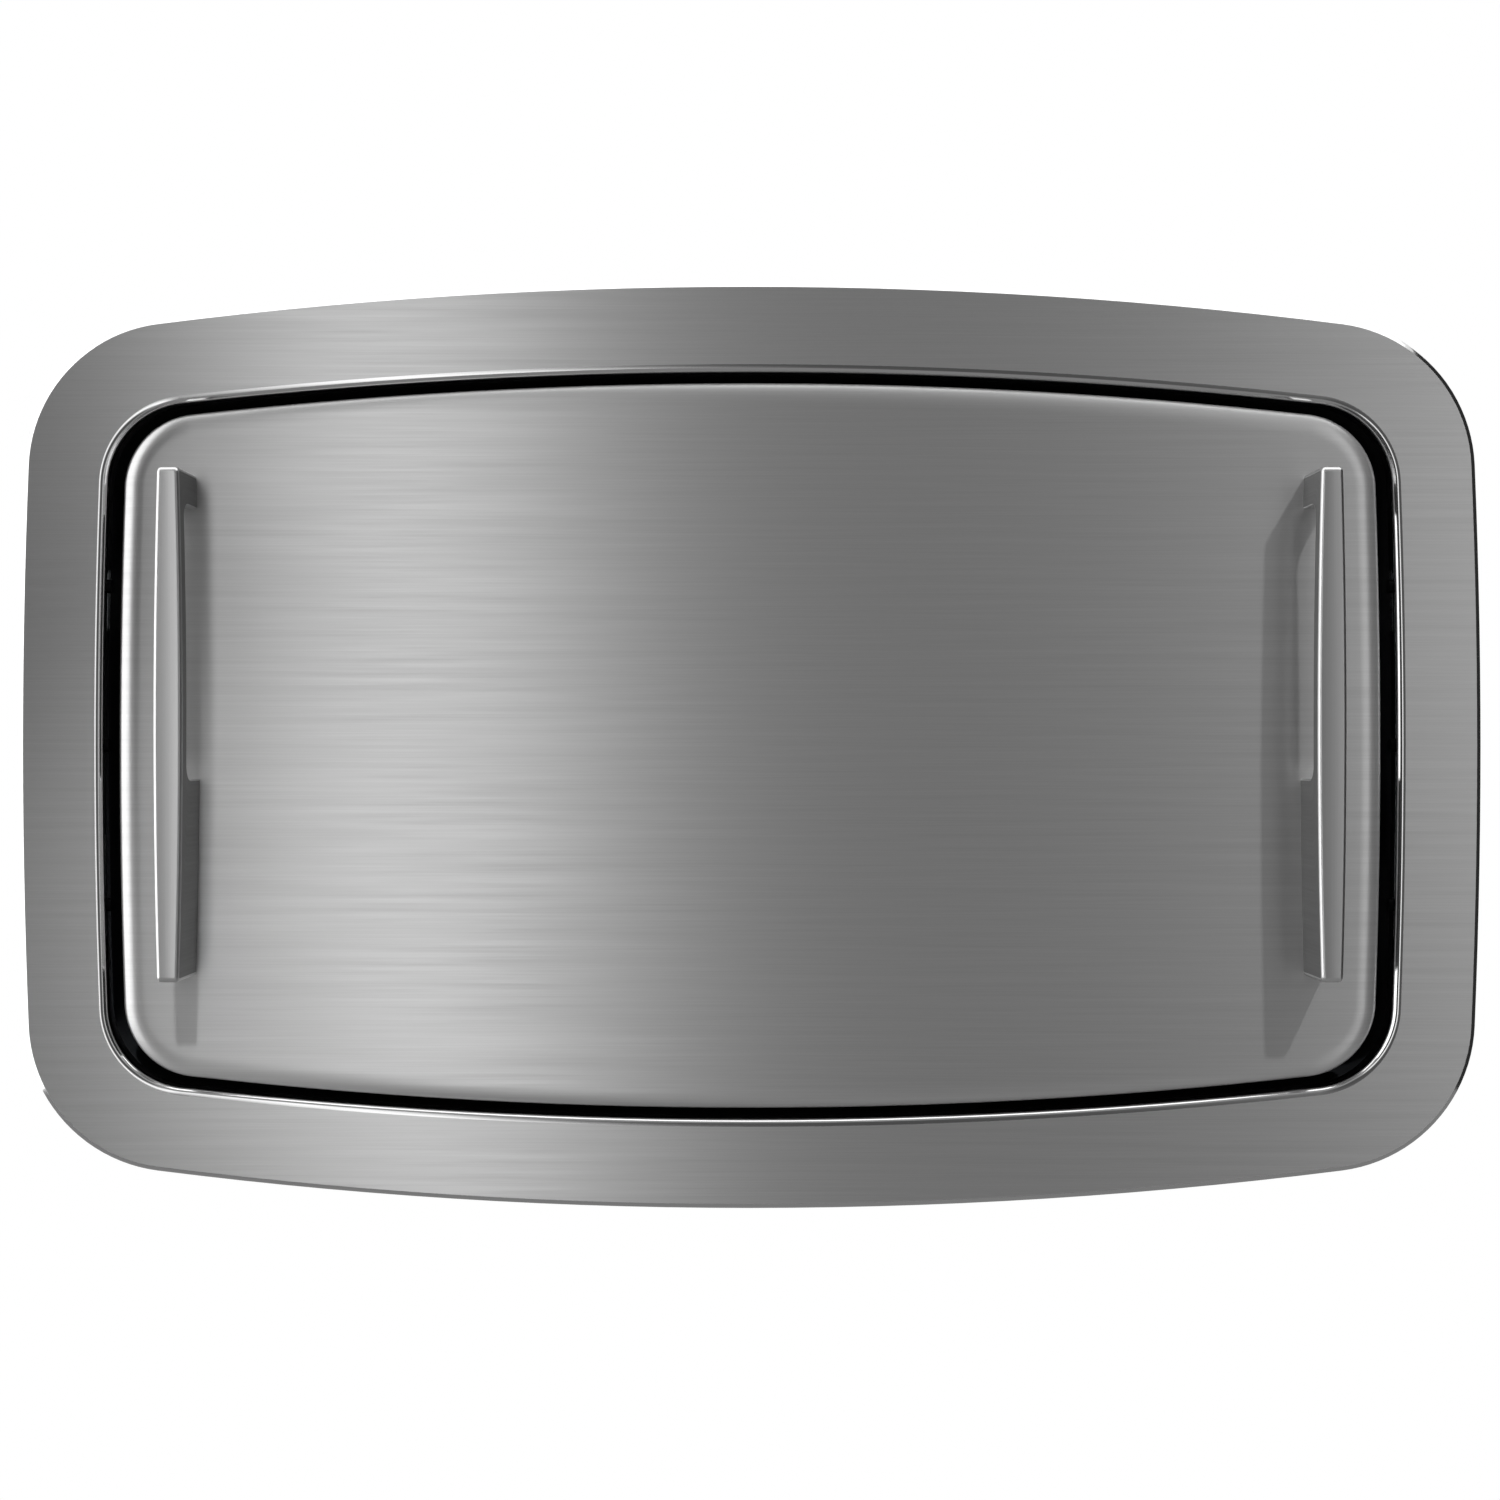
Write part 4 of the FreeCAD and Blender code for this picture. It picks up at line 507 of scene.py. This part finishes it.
def make_piece(name, points, faces, material, body, replaced, maps=None):
    """A smooth closed piece from arrays: faces turned outwards, UV maps per point, ride and slot."""
    if signed_volume(points, faces) < 0:
        faces = [corners[:, ::-1] for corners in faces]
    mesh = bpy.data.meshes.new(name)
    mesh.from_pydata(points.tolist(), [], [face for corners in faces for face in corners.tolist()])
    loop_points = np.empty(len(mesh.loops), dtype=int)
    mesh.loops.foreach_get("vertex_index", loop_points)
    for map_name, values in (maps or {}).items():
        layer = mesh.uv_layers.new(name=map_name)
        layer.uv.foreach_set("vector", values[loop_points].astype(np.float32).ravel())
    mesh.shade_smooth()
    mesh.materials.append(material)
    piece = bpy.data.objects.new(name, mesh)
    bpy.context.scene.collection.objects.link(piece)
    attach(piece, body)
    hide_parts(*replaced)
    return piece


def second_finish(piece, material, chosen):
    """Give the chosen faces another material: chosen holds a 1 for each of them, in face order."""
    finish = np.zeros(len(piece.data.polygons), dtype=np.int32)
    finish[:len(chosen)] = chosen
    piece.data.materials.append(material)
    piece.data.polygons.foreach_set("material_index", finish)


def brush_map(rings, shape, front, turns=1.0):
    """U = Z and V = X, each plus the depth behind the face times the outline's direction.

    So the map runs on where the sheet turns back. turns is 1 for a ring that turns back outside
    the face and -1 for one inside an opening.
    """
    back = (rings[..., 1] - front) * np.reshape(turns, (-1, 1))
    across = rings[..., 2] + back * shape[1][:, 1]
    along = rings[..., 0] + back * shape[1][:, 0]
    return np.stack([across, along], axis=-1).reshape(-1, 2)


print("mesh helpers: grids, caps, outward faces, brush maps and second finishes")

# %% [markdown]
# ## The frame on the wall
# The frame is one formed sheet: a short return to the wall outside, a narrow bevel, a flat face and
# a collar that rolls into the recess. A loft from the outer outline to the mouth's outline makes
# the face, and both edges are rings of their own outline. Rings close to each fold keep it crisp.
# The bevel and the rolled rim catch thin, sharp lines of light, so they get the bright finish.

# %% Frame
FRAME_BOW, FRAME_SIDE, FRAME_CORNER = 3090 * MM, 4470 * MM, 100 * MM
MOUTH_HALF_WIDTH, MOUTH_HALF_HEIGHT = 425 * MM, 245 * MM
MOUTH_BOW, MOUTH_SIDE, MOUTH_CORNER = 3390 * MM, 4650 * MM, 54 * MM
FRAME_SHEET, RIM_ROLL = 1.5 * MM, 5.0 * MM
BEVEL_WIDTH, BEVEL_DEPTH = 3.2 * MM, 2.4 * MM
FOLD = 0.25 * MM               # How close the rings beside a fold stand.
FACE_SHARES = np.linspace(0.0, 1.0, 6)
EDGE_RINGS = 6                 # Rings of the return and the bevel, before the face begins.
BEVEL_START, BEVEL_END = 1, 3  # First and last row of faces on the bevel.
RIM_STEPS = 9

frame_outline = outline(flange_high[0], flange_high[2], FRAME_BOW, FRAME_SIDE, FRAME_CORNER)
mouth_outline = outline(MOUTH_HALF_WIDTH, MOUTH_HALF_HEIGHT, MOUTH_BOW, MOUTH_SIDE, MOUTH_CORNER)
collar_end = frame_box("frame_collar")[1][1]


def flange_rings():
    """Rings from the wall round the bevel, over the face, down the roll and back behind the sheet."""
    front, back = flange_front, flange_front + FRAME_SHEET
    rings = [ring_at(frame_outline, inset, depth) for inset, depth in [
        (0.0, 0.0), (0.0, front + BEVEL_DEPTH + FOLD), (FOLD / 2, front + BEVEL_DEPTH - FOLD / 2),
        (BEVEL_WIDTH - FOLD, front + FOLD / 2), (BEVEL_WIDTH, front), (BEVEL_WIDTH + FOLD, front)]]
    outside = ring_at(frame_outline, BEVEL_WIDTH + 2 * FOLD, front)
    inside = ring_at(mouth_outline, -RIM_ROLL - FOLD, front)
    rings += [(1 - share) * outside + share * inside for share in FACE_SHARES]
    insets, depths = quarter_roll(RIM_ROLL, RIM_ROLL, 90, 0, RIM_STEPS)
    rings += [ring_at(mouth_outline, -inset, front + depth) for inset, depth in zip(insets, depths)]
    rings += [ring_at(mouth_outline, inset, depth) for inset, depth in [
        (0.0, collar_end - FOLD), (-FOLD, collar_end), (FOLD - FRAME_SHEET, collar_end),
        (-FRAME_SHEET, collar_end - FOLD), (-FRAME_SHEET, front + RIM_ROLL), (-RIM_ROLL, back)]]
    rings += [ring_at(frame_outline, inset, depth) for inset, depth in [
        (BEVEL_WIDTH + FRAME_SHEET, back), (FRAME_SHEET, back + FRAME_SHEET), (FRAME_SHEET, 0.0)]]
    return np.stack(rings)


rings = flange_rings()
rows, columns = rings.shape[:2]
outside_rings = EDGE_RINGS + len(FACE_SHARES)
frame_turns = np.where(np.arange(rows) < outside_rings, 1.0, -1.0)
frame_brush = brush_map(rings, frame_outline, flange_front, frame_turns)
frame_faces = grid_faces(rows, columns, wrap_rows=True)
frame_piece = make_piece("frame_sheet", rings.reshape(-1, 3), [frame_faces], door_steel, "wall_unit",
                         ["flange_frame", "frame_collar"], {"brush": frame_brush})
row = np.arange(len(frame_faces)) // columns
on_bevel = (row >= BEVEL_START) & (row <= BEVEL_END)
on_rim = (row >= outside_rings) & (row < outside_rings + RIM_STEPS)
second_finish(frame_piece, rim_steel, on_bevel | on_rim)
print("frame sheet:", len(frame_piece.data.polygons), "faces")

# %% [markdown]
# ## The door
# The door is a pan pressed from one sheet. Its face is flat and its edge turns back all round in a
# roll that is three times as wide as it is deep. That is what draws the bright line down its left
# side. Rings of the door's outline make the roll. The face is the roll's last ring drawn in to the
# middle, and the sheet's inner side follows one thickness behind.

# %% Door
DOOR_BOW, DOOR_SIDE, DOOR_CORNER = 3290 * MM, 4600 * MM, 50 * MM
DOOR_SHEET, ROLL_WIDTH, ROLL_DEPTH = 1.2 * MM, 15 * MM, 5 * MM
ROLL_STEPS = 18
FACE_DRAW_IN = np.array([0.985, 0.9, 0.7, 0.45, 0.2])

door_low, door_high = frame_box("door_skin")
door_front, door_edge = door_low[1], door_high[1]
door_outline = outline(door_high[0], door_high[2], DOOR_BOW, DOOR_SIDE, DOOR_CORNER)


def pan_rings(inset, front, width, depth):
    """Rings of one side of the pan, from its open edge over the roll to the middle of its face."""
    insets, depths = quarter_roll(width, depth, 0, 90, ROLL_STEPS)
    rings = [ring_at(door_outline, inset, door_edge)]
    rings += [ring_at(door_outline, inset + step, front + drop) for step, drop in zip(insets, depths)]
    in_plane = np.array([1.0, 0.0, 1.0])
    depth_only = np.array([0.0, front, 0.0])
    rings += [rings[-1] * in_plane * share + depth_only for share in FACE_DRAW_IN]
    return rings


outer_rings = pan_rings(0.0, door_front, ROLL_WIDTH, ROLL_DEPTH)
door_inside = door_front + DOOR_SHEET
inner_rings = pan_rings(DOOR_SHEET, door_inside, ROLL_WIDTH - DOOR_SHEET, ROLL_DEPTH - DOOR_SHEET)
rings = np.stack(outer_rings[::-1] + inner_rings)
poles = np.array([[0.0, door_front, 0.0], [0.0, door_inside, 0.0]])
points, faces = capped(rings, poles)
door_brush = np.concatenate([brush_map(rings, door_outline, door_front), poles[:, [2, 0]]])
door_piece = make_piece("door_pan", points, faces, door_steel, "bed", ["door_skin"],
                        {"brush": door_brush})
print("door pan:", len(door_piece.data.polygons), "faces")

# %% [markdown]
# ## The handles
# Each handle is a solid bar with a lens-shaped front. A grip opening is cut through its upper half,
# and below that it is solid down to the door. From the side it is a C between two lines: the outer
# line runs up the front with rounded ends, the inner line runs round the grip. A closed section
# carried along both lines at once makes the whole bar, as wide at each height as the lens is there.

# %% Lines and section of a handle
HANDLE_WIDTH, HANDLE_END_WIDTH = 18.5 * MM, 13.7 * MM
HANDLE_BAR, GRIP_ROUND, END_ROUND = 12 * MM, 9 * MM, 4 * MM
FRONT_EDGE_ROUND, GRIP_EDGE_ROUND = 2.6 * MM, 1.0 * MM
GRIP_BOTTOM, GRIP_TOP = -22 * MM, 155 * MM
FOOT_STEPS, ROUND_STEPS, FRONT_STEPS = 10, 12, 44
EDGE_ANGLES = np.radians(np.linspace(0, 90, 7))
SIDE_SHARES = np.linspace(0.0, 1.0, 10)[1:-1]

handle_low, handle_high = frame_box("handle_right")
handle_x = (handle_low[0] + handle_high[0]) / 2


def c_line(front, bottom, top, radius):
    """A C from the side as Y and Z: out along the bottom, up the front and back along the top.

    Returns the points and the directions that look out of the C, with equal counts for any size.
    """
    turn = np.radians(np.linspace(0, 90, ROUND_STEPS))
    low_corner = np.array([front + radius, bottom + radius])
    high_corner = np.array([front + radius, top - radius])
    foot = np.linspace(door_front, low_corner[0], FOOT_STEPS, endpoint=False)
    rise = np.linspace(low_corner[1], high_corner[1], FRONT_STEPS)[1:-1]
    low_look = np.stack([-np.sin(turn), -np.cos(turn)], axis=1)
    low_turn = low_corner + radius * low_look
    high_look = np.stack([-np.cos(turn), np.sin(turn)], axis=1)
    high_turn = high_corner + radius * high_look
    points = [np.stack([foot, np.full(len(foot), bottom)], axis=1), low_turn,
              np.stack([np.full(len(rise), front), rise], axis=1), high_turn,
              np.stack([foot[::-1], np.full(len(foot), top)], axis=1)]
    looks = [np.tile([0.0, -1.0], (len(foot), 1)), low_look, np.tile([-1.0, 0.0], (len(rise), 1)),
             high_look, np.tile([0.0, 1.0], (len(foot), 1))]
    return np.concatenate(points), np.concatenate(looks)


def lens_half_width(height):
    """Half the lens's width at a height: a wide arc through the ends and the middle."""
    half_length = (handle_high[2] - handle_low[2]) / 2
    middle = (handle_high[2] + handle_low[2]) / 2
    rise = (HANDLE_WIDTH - HANDLE_END_WIDTH) / 2
    radius = (half_length ** 2 + rise ** 2) / (2 * rise)
    return np.sqrt(radius ** 2 - (height - middle) ** 2) - radius + HANDLE_WIDTH / 2


def handle_section():
    """One side of the section: each step's place from the outer to the inner line and its narrowing."""
    outer, outer_look = c_line(handle_low[1], handle_low[2], handle_high[2], END_ROUND)
    inner, inner_look = c_line(handle_low[1] + HANDLE_BAR, GRIP_BOTTOM, GRIP_TOP, GRIP_ROUND)
    columns, narrowing = [], []
    for angle in EDGE_ANGLES:
        sink = FRONT_EDGE_ROUND * (1 - np.cos(angle))
        columns.append(outer - sink * outer_look)
        narrowing.append(FRONT_EDGE_ROUND * (1 - np.sin(angle)))
    near = outer - FRONT_EDGE_ROUND * outer_look
    far = inner + GRIP_EDGE_ROUND * inner_look
    for share in SIDE_SHARES:
        columns.append((1 - share) * near + share * far)
        narrowing.append(0.0)
    for angle in EDGE_ANGLES[::-1]:
        sink = GRIP_EDGE_ROUND * (1 - np.cos(angle))
        columns.append(inner + sink * inner_look)
        narrowing.append(GRIP_EDGE_ROUND * (1 - np.sin(angle)))
    return np.stack(columns, axis=1), np.array(narrowing)


print("handle %.0f mm long" % ((handle_high[2] - handle_low[2]) / MM))

# %% [markdown]
# ## Two bars
# The section's steps are mirrored to the other side of the bar, which closes each ring. The brush map
# counts the way round the bar as U and the way along it as V, so the scratches follow its length. The
# front of the bar is ground. Its sides are rougher and painted darker to stand in for shade, so the side
# faces get that finish.

# %% Handles
def make_handle(place, side):
    """The bar on one side of the door, with its two feet closed against the door's face.

    A cell's step is its place in the section, counted from the front on either side of the bar.
    """
    section, narrowing = handle_section()
    half = lens_half_width(section[..., 1]) - narrowing
    right = np.stack([side * handle_x + half, section[..., 0], section[..., 1]], axis=-1)
    left = np.stack([side * handle_x - half, section[..., 0], section[..., 1]], axis=-1)
    rings = np.concatenate([right, left[:, ::-1]], axis=1)
    rows, columns = rings.shape[:2]
    points, faces = capped(rings, end_middles(rings))
    round_steps = np.linalg.norm(np.diff(rings, axis=1, prepend=rings[:, :1]), axis=2)
    across = np.cumsum(round_steps.mean(axis=0))
    front = rings[:, 0]
    along = np.cumsum(np.linalg.norm(np.diff(front, axis=0, prepend=front[:1]), axis=1))
    grid = np.stack(np.meshgrid(across, along), axis=-1).reshape(-1, 2)
    brush = np.concatenate([grid, grid[[0, -1]]])
    bar = make_piece("handle_bar_" + place, points, faces, handle_steel, "bed",
                     ["handle_" + place], {"brush": brush})
    cell = np.arange((rows - 1) * columns) % columns
    step = np.minimum(cell, columns - 2 - cell)
    on_side = (step >= len(EDGE_ANGLES) - 1) & (step < len(EDGE_ANGLES) + len(SIDE_SHARES))
    # Painted shade: the bar's side faces get the darker steel.
    second_finish(bar, shaded_side_steel, on_side)
    return bar


for place, side in (("left", -1), ("right", 1)):
    bar = make_handle(place, side)
    print(bar.name, len(bar.data.polygons), "faces")

# %% [markdown]
# ## Finishes of the mechanism
# What shows when the bed is down keeps the model's own shapes: the moulded box and tray, plated
# brackets, screws, struts and rubber. Each gets the finish that its making leaves. Patterns are laid
# in the model's own coordinates, in real millimetres, so that they stay still on the piece.

# %% Moulded, plated and painted finishes
PLASTIC_IOR = 1.53
FLOW_CLOUD = 60 * MM
PEBBLE_BUMP, PEBBLE_SHEEN = 0.35, 0.06
PEEL_DEPTH = 0.2 * MM                   # Real orange peel is shallower; drawn this deep so that it shows.
PLATING_PEEL, PLATING_BUMP, PLATING_SHEEN = 1.2 * MM, 0.02, 0.05
ENAMEL_PEEL, ENAMEL_BUMP, ENAMEL_SHEEN = 1.6 * MM, 0.15, 0.04
ENAMEL_THINNING = 30 * MM
FINE, BROAD, PATCHY = 2.0, 3.0, 4.0     # Detail of a noise: how many finer layers it has.
TINT_RANGE = (0.35, 0.65)               # The middle of a noise, where most of it lies.
SHEEN_RANGE = (0.3, 0.7)


def grain(material, size, detail):
    """Noise in the piece's own coordinates whose cells are one size wide."""
    place = add_node(material, "TexCoord")
    noise = add_node(material, "TexNoise", {
        "Vector": place.outputs["Object"], "Scale": 1 / size, "Detail": detail})
    return noise.outputs["Fac"]


def uneven_sheen(material, pattern, rough, swing):
    """Roughness that falls from rough + swing to rough - swing as a pattern rises."""
    low, high = SHEEN_RANGE
    return add_node(material, "MapRange", {
        "Value": pattern, "From Min": low, "From Max": high,
        "To Min": rough + swing, "To Max": rough - swing}).outputs[0]


def moulded_plastic(name, dark, pale, rough, grit, depth):
    """Plastic from a grained mould: a pebbled skin, faint flow clouds and an uneven sheen."""
    material, output = new_material(name)
    pebbles = grain(material, grit, FINE)
    clouds = grain(material, FLOW_CLOUD, BROAD)
    bump = add_node(material, "Bump", {"Height": pebbles, "Strength": PEBBLE_BUMP, "Distance": depth})
    shader = add_node(material, "BsdfPrincipled", {
        "Base Color": tinted(material, clouds, dark, pale, *TINT_RANGE),
        "Roughness": uneven_sheen(material, pebbles, rough, PEBBLE_SHEEN),
        "IOR": PLASTIC_IOR, "Normal": bump.outputs[0]})
    return finish_material(material, output, shader)


def plated_steel(name, dark, pale, rough, patch):
    """Plating over pressed steel: soft patches of tone and gloss, and a faint orange peel."""
    material, output = new_material(name)
    patches = grain(material, patch, PATCHY)
    peel = grain(material, PLATING_PEEL, FINE)
    bump = add_node(material, "Bump", {"Height": peel, "Strength": PLATING_BUMP, "Distance": PEEL_DEPTH})
    shader = add_node(material, "BsdfPrincipled", {
        "Base Color": tinted(material, patches, dark, pale, *TINT_RANGE), "Metallic": 1.0,
        "Roughness": uneven_sheen(material, patches, rough, PLATING_SHEEN),
        "Normal": bump.outputs[0]})
    return finish_material(material, output, shader)


def painted_steel(name, dark, pale, rough):
    """Sprayed enamel: fine orange peel under a thin gloss, a little paler where it is thin."""
    material, output = new_material(name)
    peel = grain(material, ENAMEL_PEEL, FINE)
    thin = grain(material, ENAMEL_THINNING, BROAD)
    bump = add_node(material, "Bump", {"Height": peel, "Strength": ENAMEL_BUMP, "Distance": PEEL_DEPTH})
    shader = add_node(material, "BsdfPrincipled", {
        "Base Color": tinted(material, thin, dark, pale, *TINT_RANGE),
        "Roughness": uneven_sheen(material, peel, rough, ENAMEL_SHEEN),
        "Coat Weight": 0.35, "Coat Roughness": 0.2, "Normal": bump.outputs[0]})
    return finish_material(material, output, shader)


grey_polyethylene = moulded_plastic("grey polyethylene, grained moulding", "#a6a9ab", "#aaadaf",
                                    rough=0.46, grit=1.1 * MM, depth=0.12 * MM)
# The wall box is painted near-black so that the gap round the door reads as deep shade.
gap_shade_polyethylene = moulded_plastic("charcoal polyethylene, grained moulding", "#17181a", "#1d1e20",
                                    rough=0.55, grit=1.4 * MM, depth=0.15 * MM)
black_nylon = moulded_plastic("black nylon, satin moulding", "#141516", "#1c1d1f",
                              rough=0.42, grit=0.8 * MM, depth=0.05 * MM)
white_nylon = moulded_plastic("natural nylon, turned", "#d6d5cd", "#e2e1d9",
                              rough=0.38, grit=0.8 * MM, depth=0.04 * MM)
black_rubber = moulded_plastic("black rubber, moulded", "#121212", "#191919",
                               rough=0.72, grit=0.7 * MM, depth=0.08 * MM)
zinc_plate = plated_steel("pressed steel, bright zinc plate", "#aeb2b5", "#bcc1c5",
                          rough=0.30, patch=9 * MM)
bright_steel = plated_steel("bright drawn steel", "#b9b9b9", "#cccccc", rough=0.18, patch=14 * MM)
# The frame screws sit in the gap and are painted black so that they vanish in its shade.
gap_shade_screw_steel = plated_steel("steel painted black for the gap's shade", "#0b0b0c", "#131314", rough=0.45, patch=6 * MM)
nickel_zinc = plated_steel("cast zinc, tumbled nickel plate", "#bbb9b4", "#c4c2bd",
                           rough=0.28, patch=5 * MM)
black_enamel = painted_steel("steel tube, black enamel", "#0c0c0d", "#151516", rough=0.32)
print("finishes: five moulded, four plated and one painted")

# %% [markdown]
# ## Which node gets which finish
# The box and the tray are moulded, what carries load is steel with a plated, drawn or painted skin,
# and what slides or cushions is nylon or rubber. A node that keeps the model's shape only needs
# another material in its slots, so no mesh is made for it.

# %% Dress the mechanism
SIDES = ("left", "right")
STATIONS = ("left", "middle", "right")


def dress(material, *names):
    """Give a finish to construction nodes as they are."""
    for name in names:
        for slot in nodes[name].material_slots:
            slot.material = material
    print(material.name, "on", len(names), "nodes")


def at_each(places, *stems):
    """Names of nodes that repeat: each stem with each place."""
    return [stem + "_" + place for stem in stems for place in places]


# Painted shade: the near-black box keeps the gap round the door dark.
dress(gap_shade_polyethylene, "wall_box")
dress(grey_polyethylene, "bed_tray", "liner_compartment", "liner_cover")
dress(zinc_plate, *at_each(STATIONS, "hinge_bracket", "bed_hinge_ear"),
      *at_each(SIDES, "strut_anchor", "handle_backing", "strut_stud"))
dress(bright_steel, "bracket_screws", "handle_screws", "ear_screws", "hinge_rod", "hinge_rod_rings",
      "buckle_pin", *at_each(SIDES, "strut_rod"))
# Painted shade: black screws keep the gap round the door dark.
dress(gap_shade_screw_steel, "frame_screws")
dress(black_rubber, "rubber_bumpers")
dress(white_nylon, "hinge_bushes")
dress(black_nylon, "strap_anchors")
dress(nickel_zinc, "buckle_frame", "buckle_lever")
dress(black_enamel, *at_each(SIDES, "strut_cylinder"))

# %% [markdown]
# ## Webbing
# The safety strap is woven from nylon yarn: ribs run along it, and picks cross them. An image could
# show that, but sine waves over the strap's own map do it from the real spacing of the yarns. The
# map is named weave and holds the distances across and along the strap, in metres.

# %% Woven webbing
RIB_PITCH = 2.4 * MM                # Real ribs are about 1 mm apart; drawn this coarse so that they show.
PICK_PITCH = 1.7 * MM
YARN = 0.5 * MM
WEAVE_BUMP, WEAVE_DEPTH = 0.6, 0.4 * MM
# Colour runs from dark in the weave's hollows, painted shade, to pale on the raised yarn.
WEAVE_HOLLOW_SHADE = (0.0, 0.6)


def woven_webbing(name, dark, pale):
    """Nylon webbing: raised ribs along it, crossed by picks that step half a rib on each row.

    Its height is sin(rib + pick) times |sin(pick)|, roughened by the yarn. The colour follows that
    height: painted shade darkens the hollows, and the yarn adds its own random tone.
    """
    material, output = new_material(name)
    weave = add_node(material, "UVMap", uv_map="weave")
    axes = add_node(material, "SeparateXYZ", {0: weave.outputs["UV"]})
    row = add_node(material, "Math", {0: axes.outputs["Y"], 1: np.pi / PICK_PITCH}, operation="MULTIPLY")
    rib = add_node(material, "Math", {0: axes.outputs["X"], 1: 2 * np.pi / RIB_PITCH},
                   operation="MULTIPLY")
    lean = add_node(material, "Math", {0: rib.outputs[0], 1: row.outputs[0]}, operation="ADD")
    wave = add_node(material, "Math", {0: lean.outputs[0]}, operation="SINE")
    pick = add_node(material, "Math", {0: row.outputs[0]}, operation="SINE")
    strong = add_node(material, "Math", {0: pick.outputs[0]}, operation="ABSOLUTE")
    height = add_node(material, "Math", {0: wave.outputs[0], 1: strong.outputs[0]}, operation="MULTIPLY")
    level = add_node(material, "MapRange", {"Value": height.outputs[0], "From Min": -1.0, "From Max": 1.0})
    mixed = add_node(material, "Math", {0: level.outputs[0], 1: grain(material, YARN, FINE)},
                     operation="MULTIPLY")
    bump = add_node(material, "Bump", {
        "Height": mixed.outputs[0], "Strength": WEAVE_BUMP, "Distance": WEAVE_DEPTH})
    # Painted shade in the weave's hollows, mixed with the yarn's own random tone.
    shader = add_node(material, "BsdfPrincipled", {
        "Base Color": tinted(material, mixed.outputs[0], dark, pale, *WEAVE_HOLLOW_SHADE), "Roughness": 0.78,
        "Sheen Weight": 0.25, "Sheen Roughness": 0.4, "IOR": PLASTIC_IOR, "Normal": bump.outputs[0]})
    return finish_material(material, output, shader)


webbing = woven_webbing("nylon webbing, woven", "#0f1114", "#2b2f36")
print(webbing.name, "with ribs every %.1f mm" % (RIB_PITCH / MM))

# %% [markdown]
# ## The safety strap
# The strap comes in two lengths. The lower one carries the buckle. The upper one comes down the bed,
# climbs over the buckle's plate, passes under its lever and lies on the lower one as a tail. Webbing
# is thin with rounded selvedges, so its section is a flattened oval carried along the path.

# %% Two lengths of strap
STRAP_HALF_WIDTH, STRAP_HALF_THICK = 19 * MM, 0.75 * MM
BUCKLE_HALF, BUCKLE_PLATE = 17 * MM, 2 * MM
LIFT_RUN = 8 * MM
LAY_GAP = 0.1 * MM
SELVEDGE_POWER = 6.0
PATH_STEPS, SECTION_STEPS = 150, 40
bed_floor = frame_box("strap_lower")[0][1]


def smooth_step(value):
    """0 below 0, 1 above 1, and 3t^2 - 2t^3 between."""
    t = np.clip(value, 0.0, 1.0)
    return t * t * (3 - 2 * t)


def flat_path(height):
    """Depth of the lower strap's middle: it lies on the bed."""
    return np.full_like(height, bed_floor + STRAP_HALF_THICK)


def climbing_path(height):
    """Depth of the upper strap's middle: over the buckle's plate, then down on the other strap."""
    lying = bed_floor + STRAP_HALF_THICK
    over = lying + 2 * STRAP_HALF_THICK + BUCKLE_PLATE + 2 * LAY_GAP
    tail = lying + 2 * STRAP_HALF_THICK + LAY_GAP
    climb = smooth_step((BUCKLE_HALF + LIFT_RUN - height) / LIFT_RUN)
    drop = smooth_step((-BUCKLE_HALF - height) / LIFT_RUN)
    return lying + (over - lying) * climb + (tail - over) * drop


def make_strap(name, node, path):
    """A flattened oval section, |x/a|^n + |t/b|^n = 1, carried down the node's height on a path."""
    low, high = frame_box(node)
    height = np.linspace(high[2], low[2], PATH_STEPS)
    depth = path(height)
    slope = np.gradient(depth, height)
    length = np.sqrt(1 + slope ** 2)
    look = np.stack([np.ones_like(slope) / length, -slope / length], axis=1)
    angle = np.linspace(0, 2 * np.pi, SECTION_STEPS, endpoint=False)
    power_sum = np.abs(np.cos(angle)) ** SELVEDGE_POWER + np.abs(np.sin(angle)) ** SELVEDGE_POWER
    bulge = power_sum ** (-1 / SELVEDGE_POWER)
    across = STRAP_HALF_WIDTH * bulge * np.cos(angle)
    thick = STRAP_HALF_THICK * bulge * np.sin(angle)
    rings = np.empty((PATH_STEPS, SECTION_STEPS, 3))
    rings[..., 0] = across
    rings[..., 1] = depth[:, None] + thick * look[:, :1]
    rings[..., 2] = height[:, None] + thick * look[:, 1:]
    points, faces = capped(rings, end_middles(rings))
    along = np.cumsum(np.hypot(np.diff(height, prepend=high[2]), np.diff(depth, prepend=depth[0])))
    weave = np.stack(np.meshgrid(across, along), axis=-1).reshape(-1, 2)
    weave = np.concatenate([weave, weave[[0, -1]]])
    return make_piece(name, points, faces, webbing, "bed", [node], {"weave": weave})


lower_strap = make_strap("webbing_lower", "strap_lower", flat_path)
upper_strap = make_strap("webbing_upper", "strap_upper", climbing_path)
for strap in (lower_strap, upper_strap):
    print(strap.name, len(strap.data.polygons), "faces")
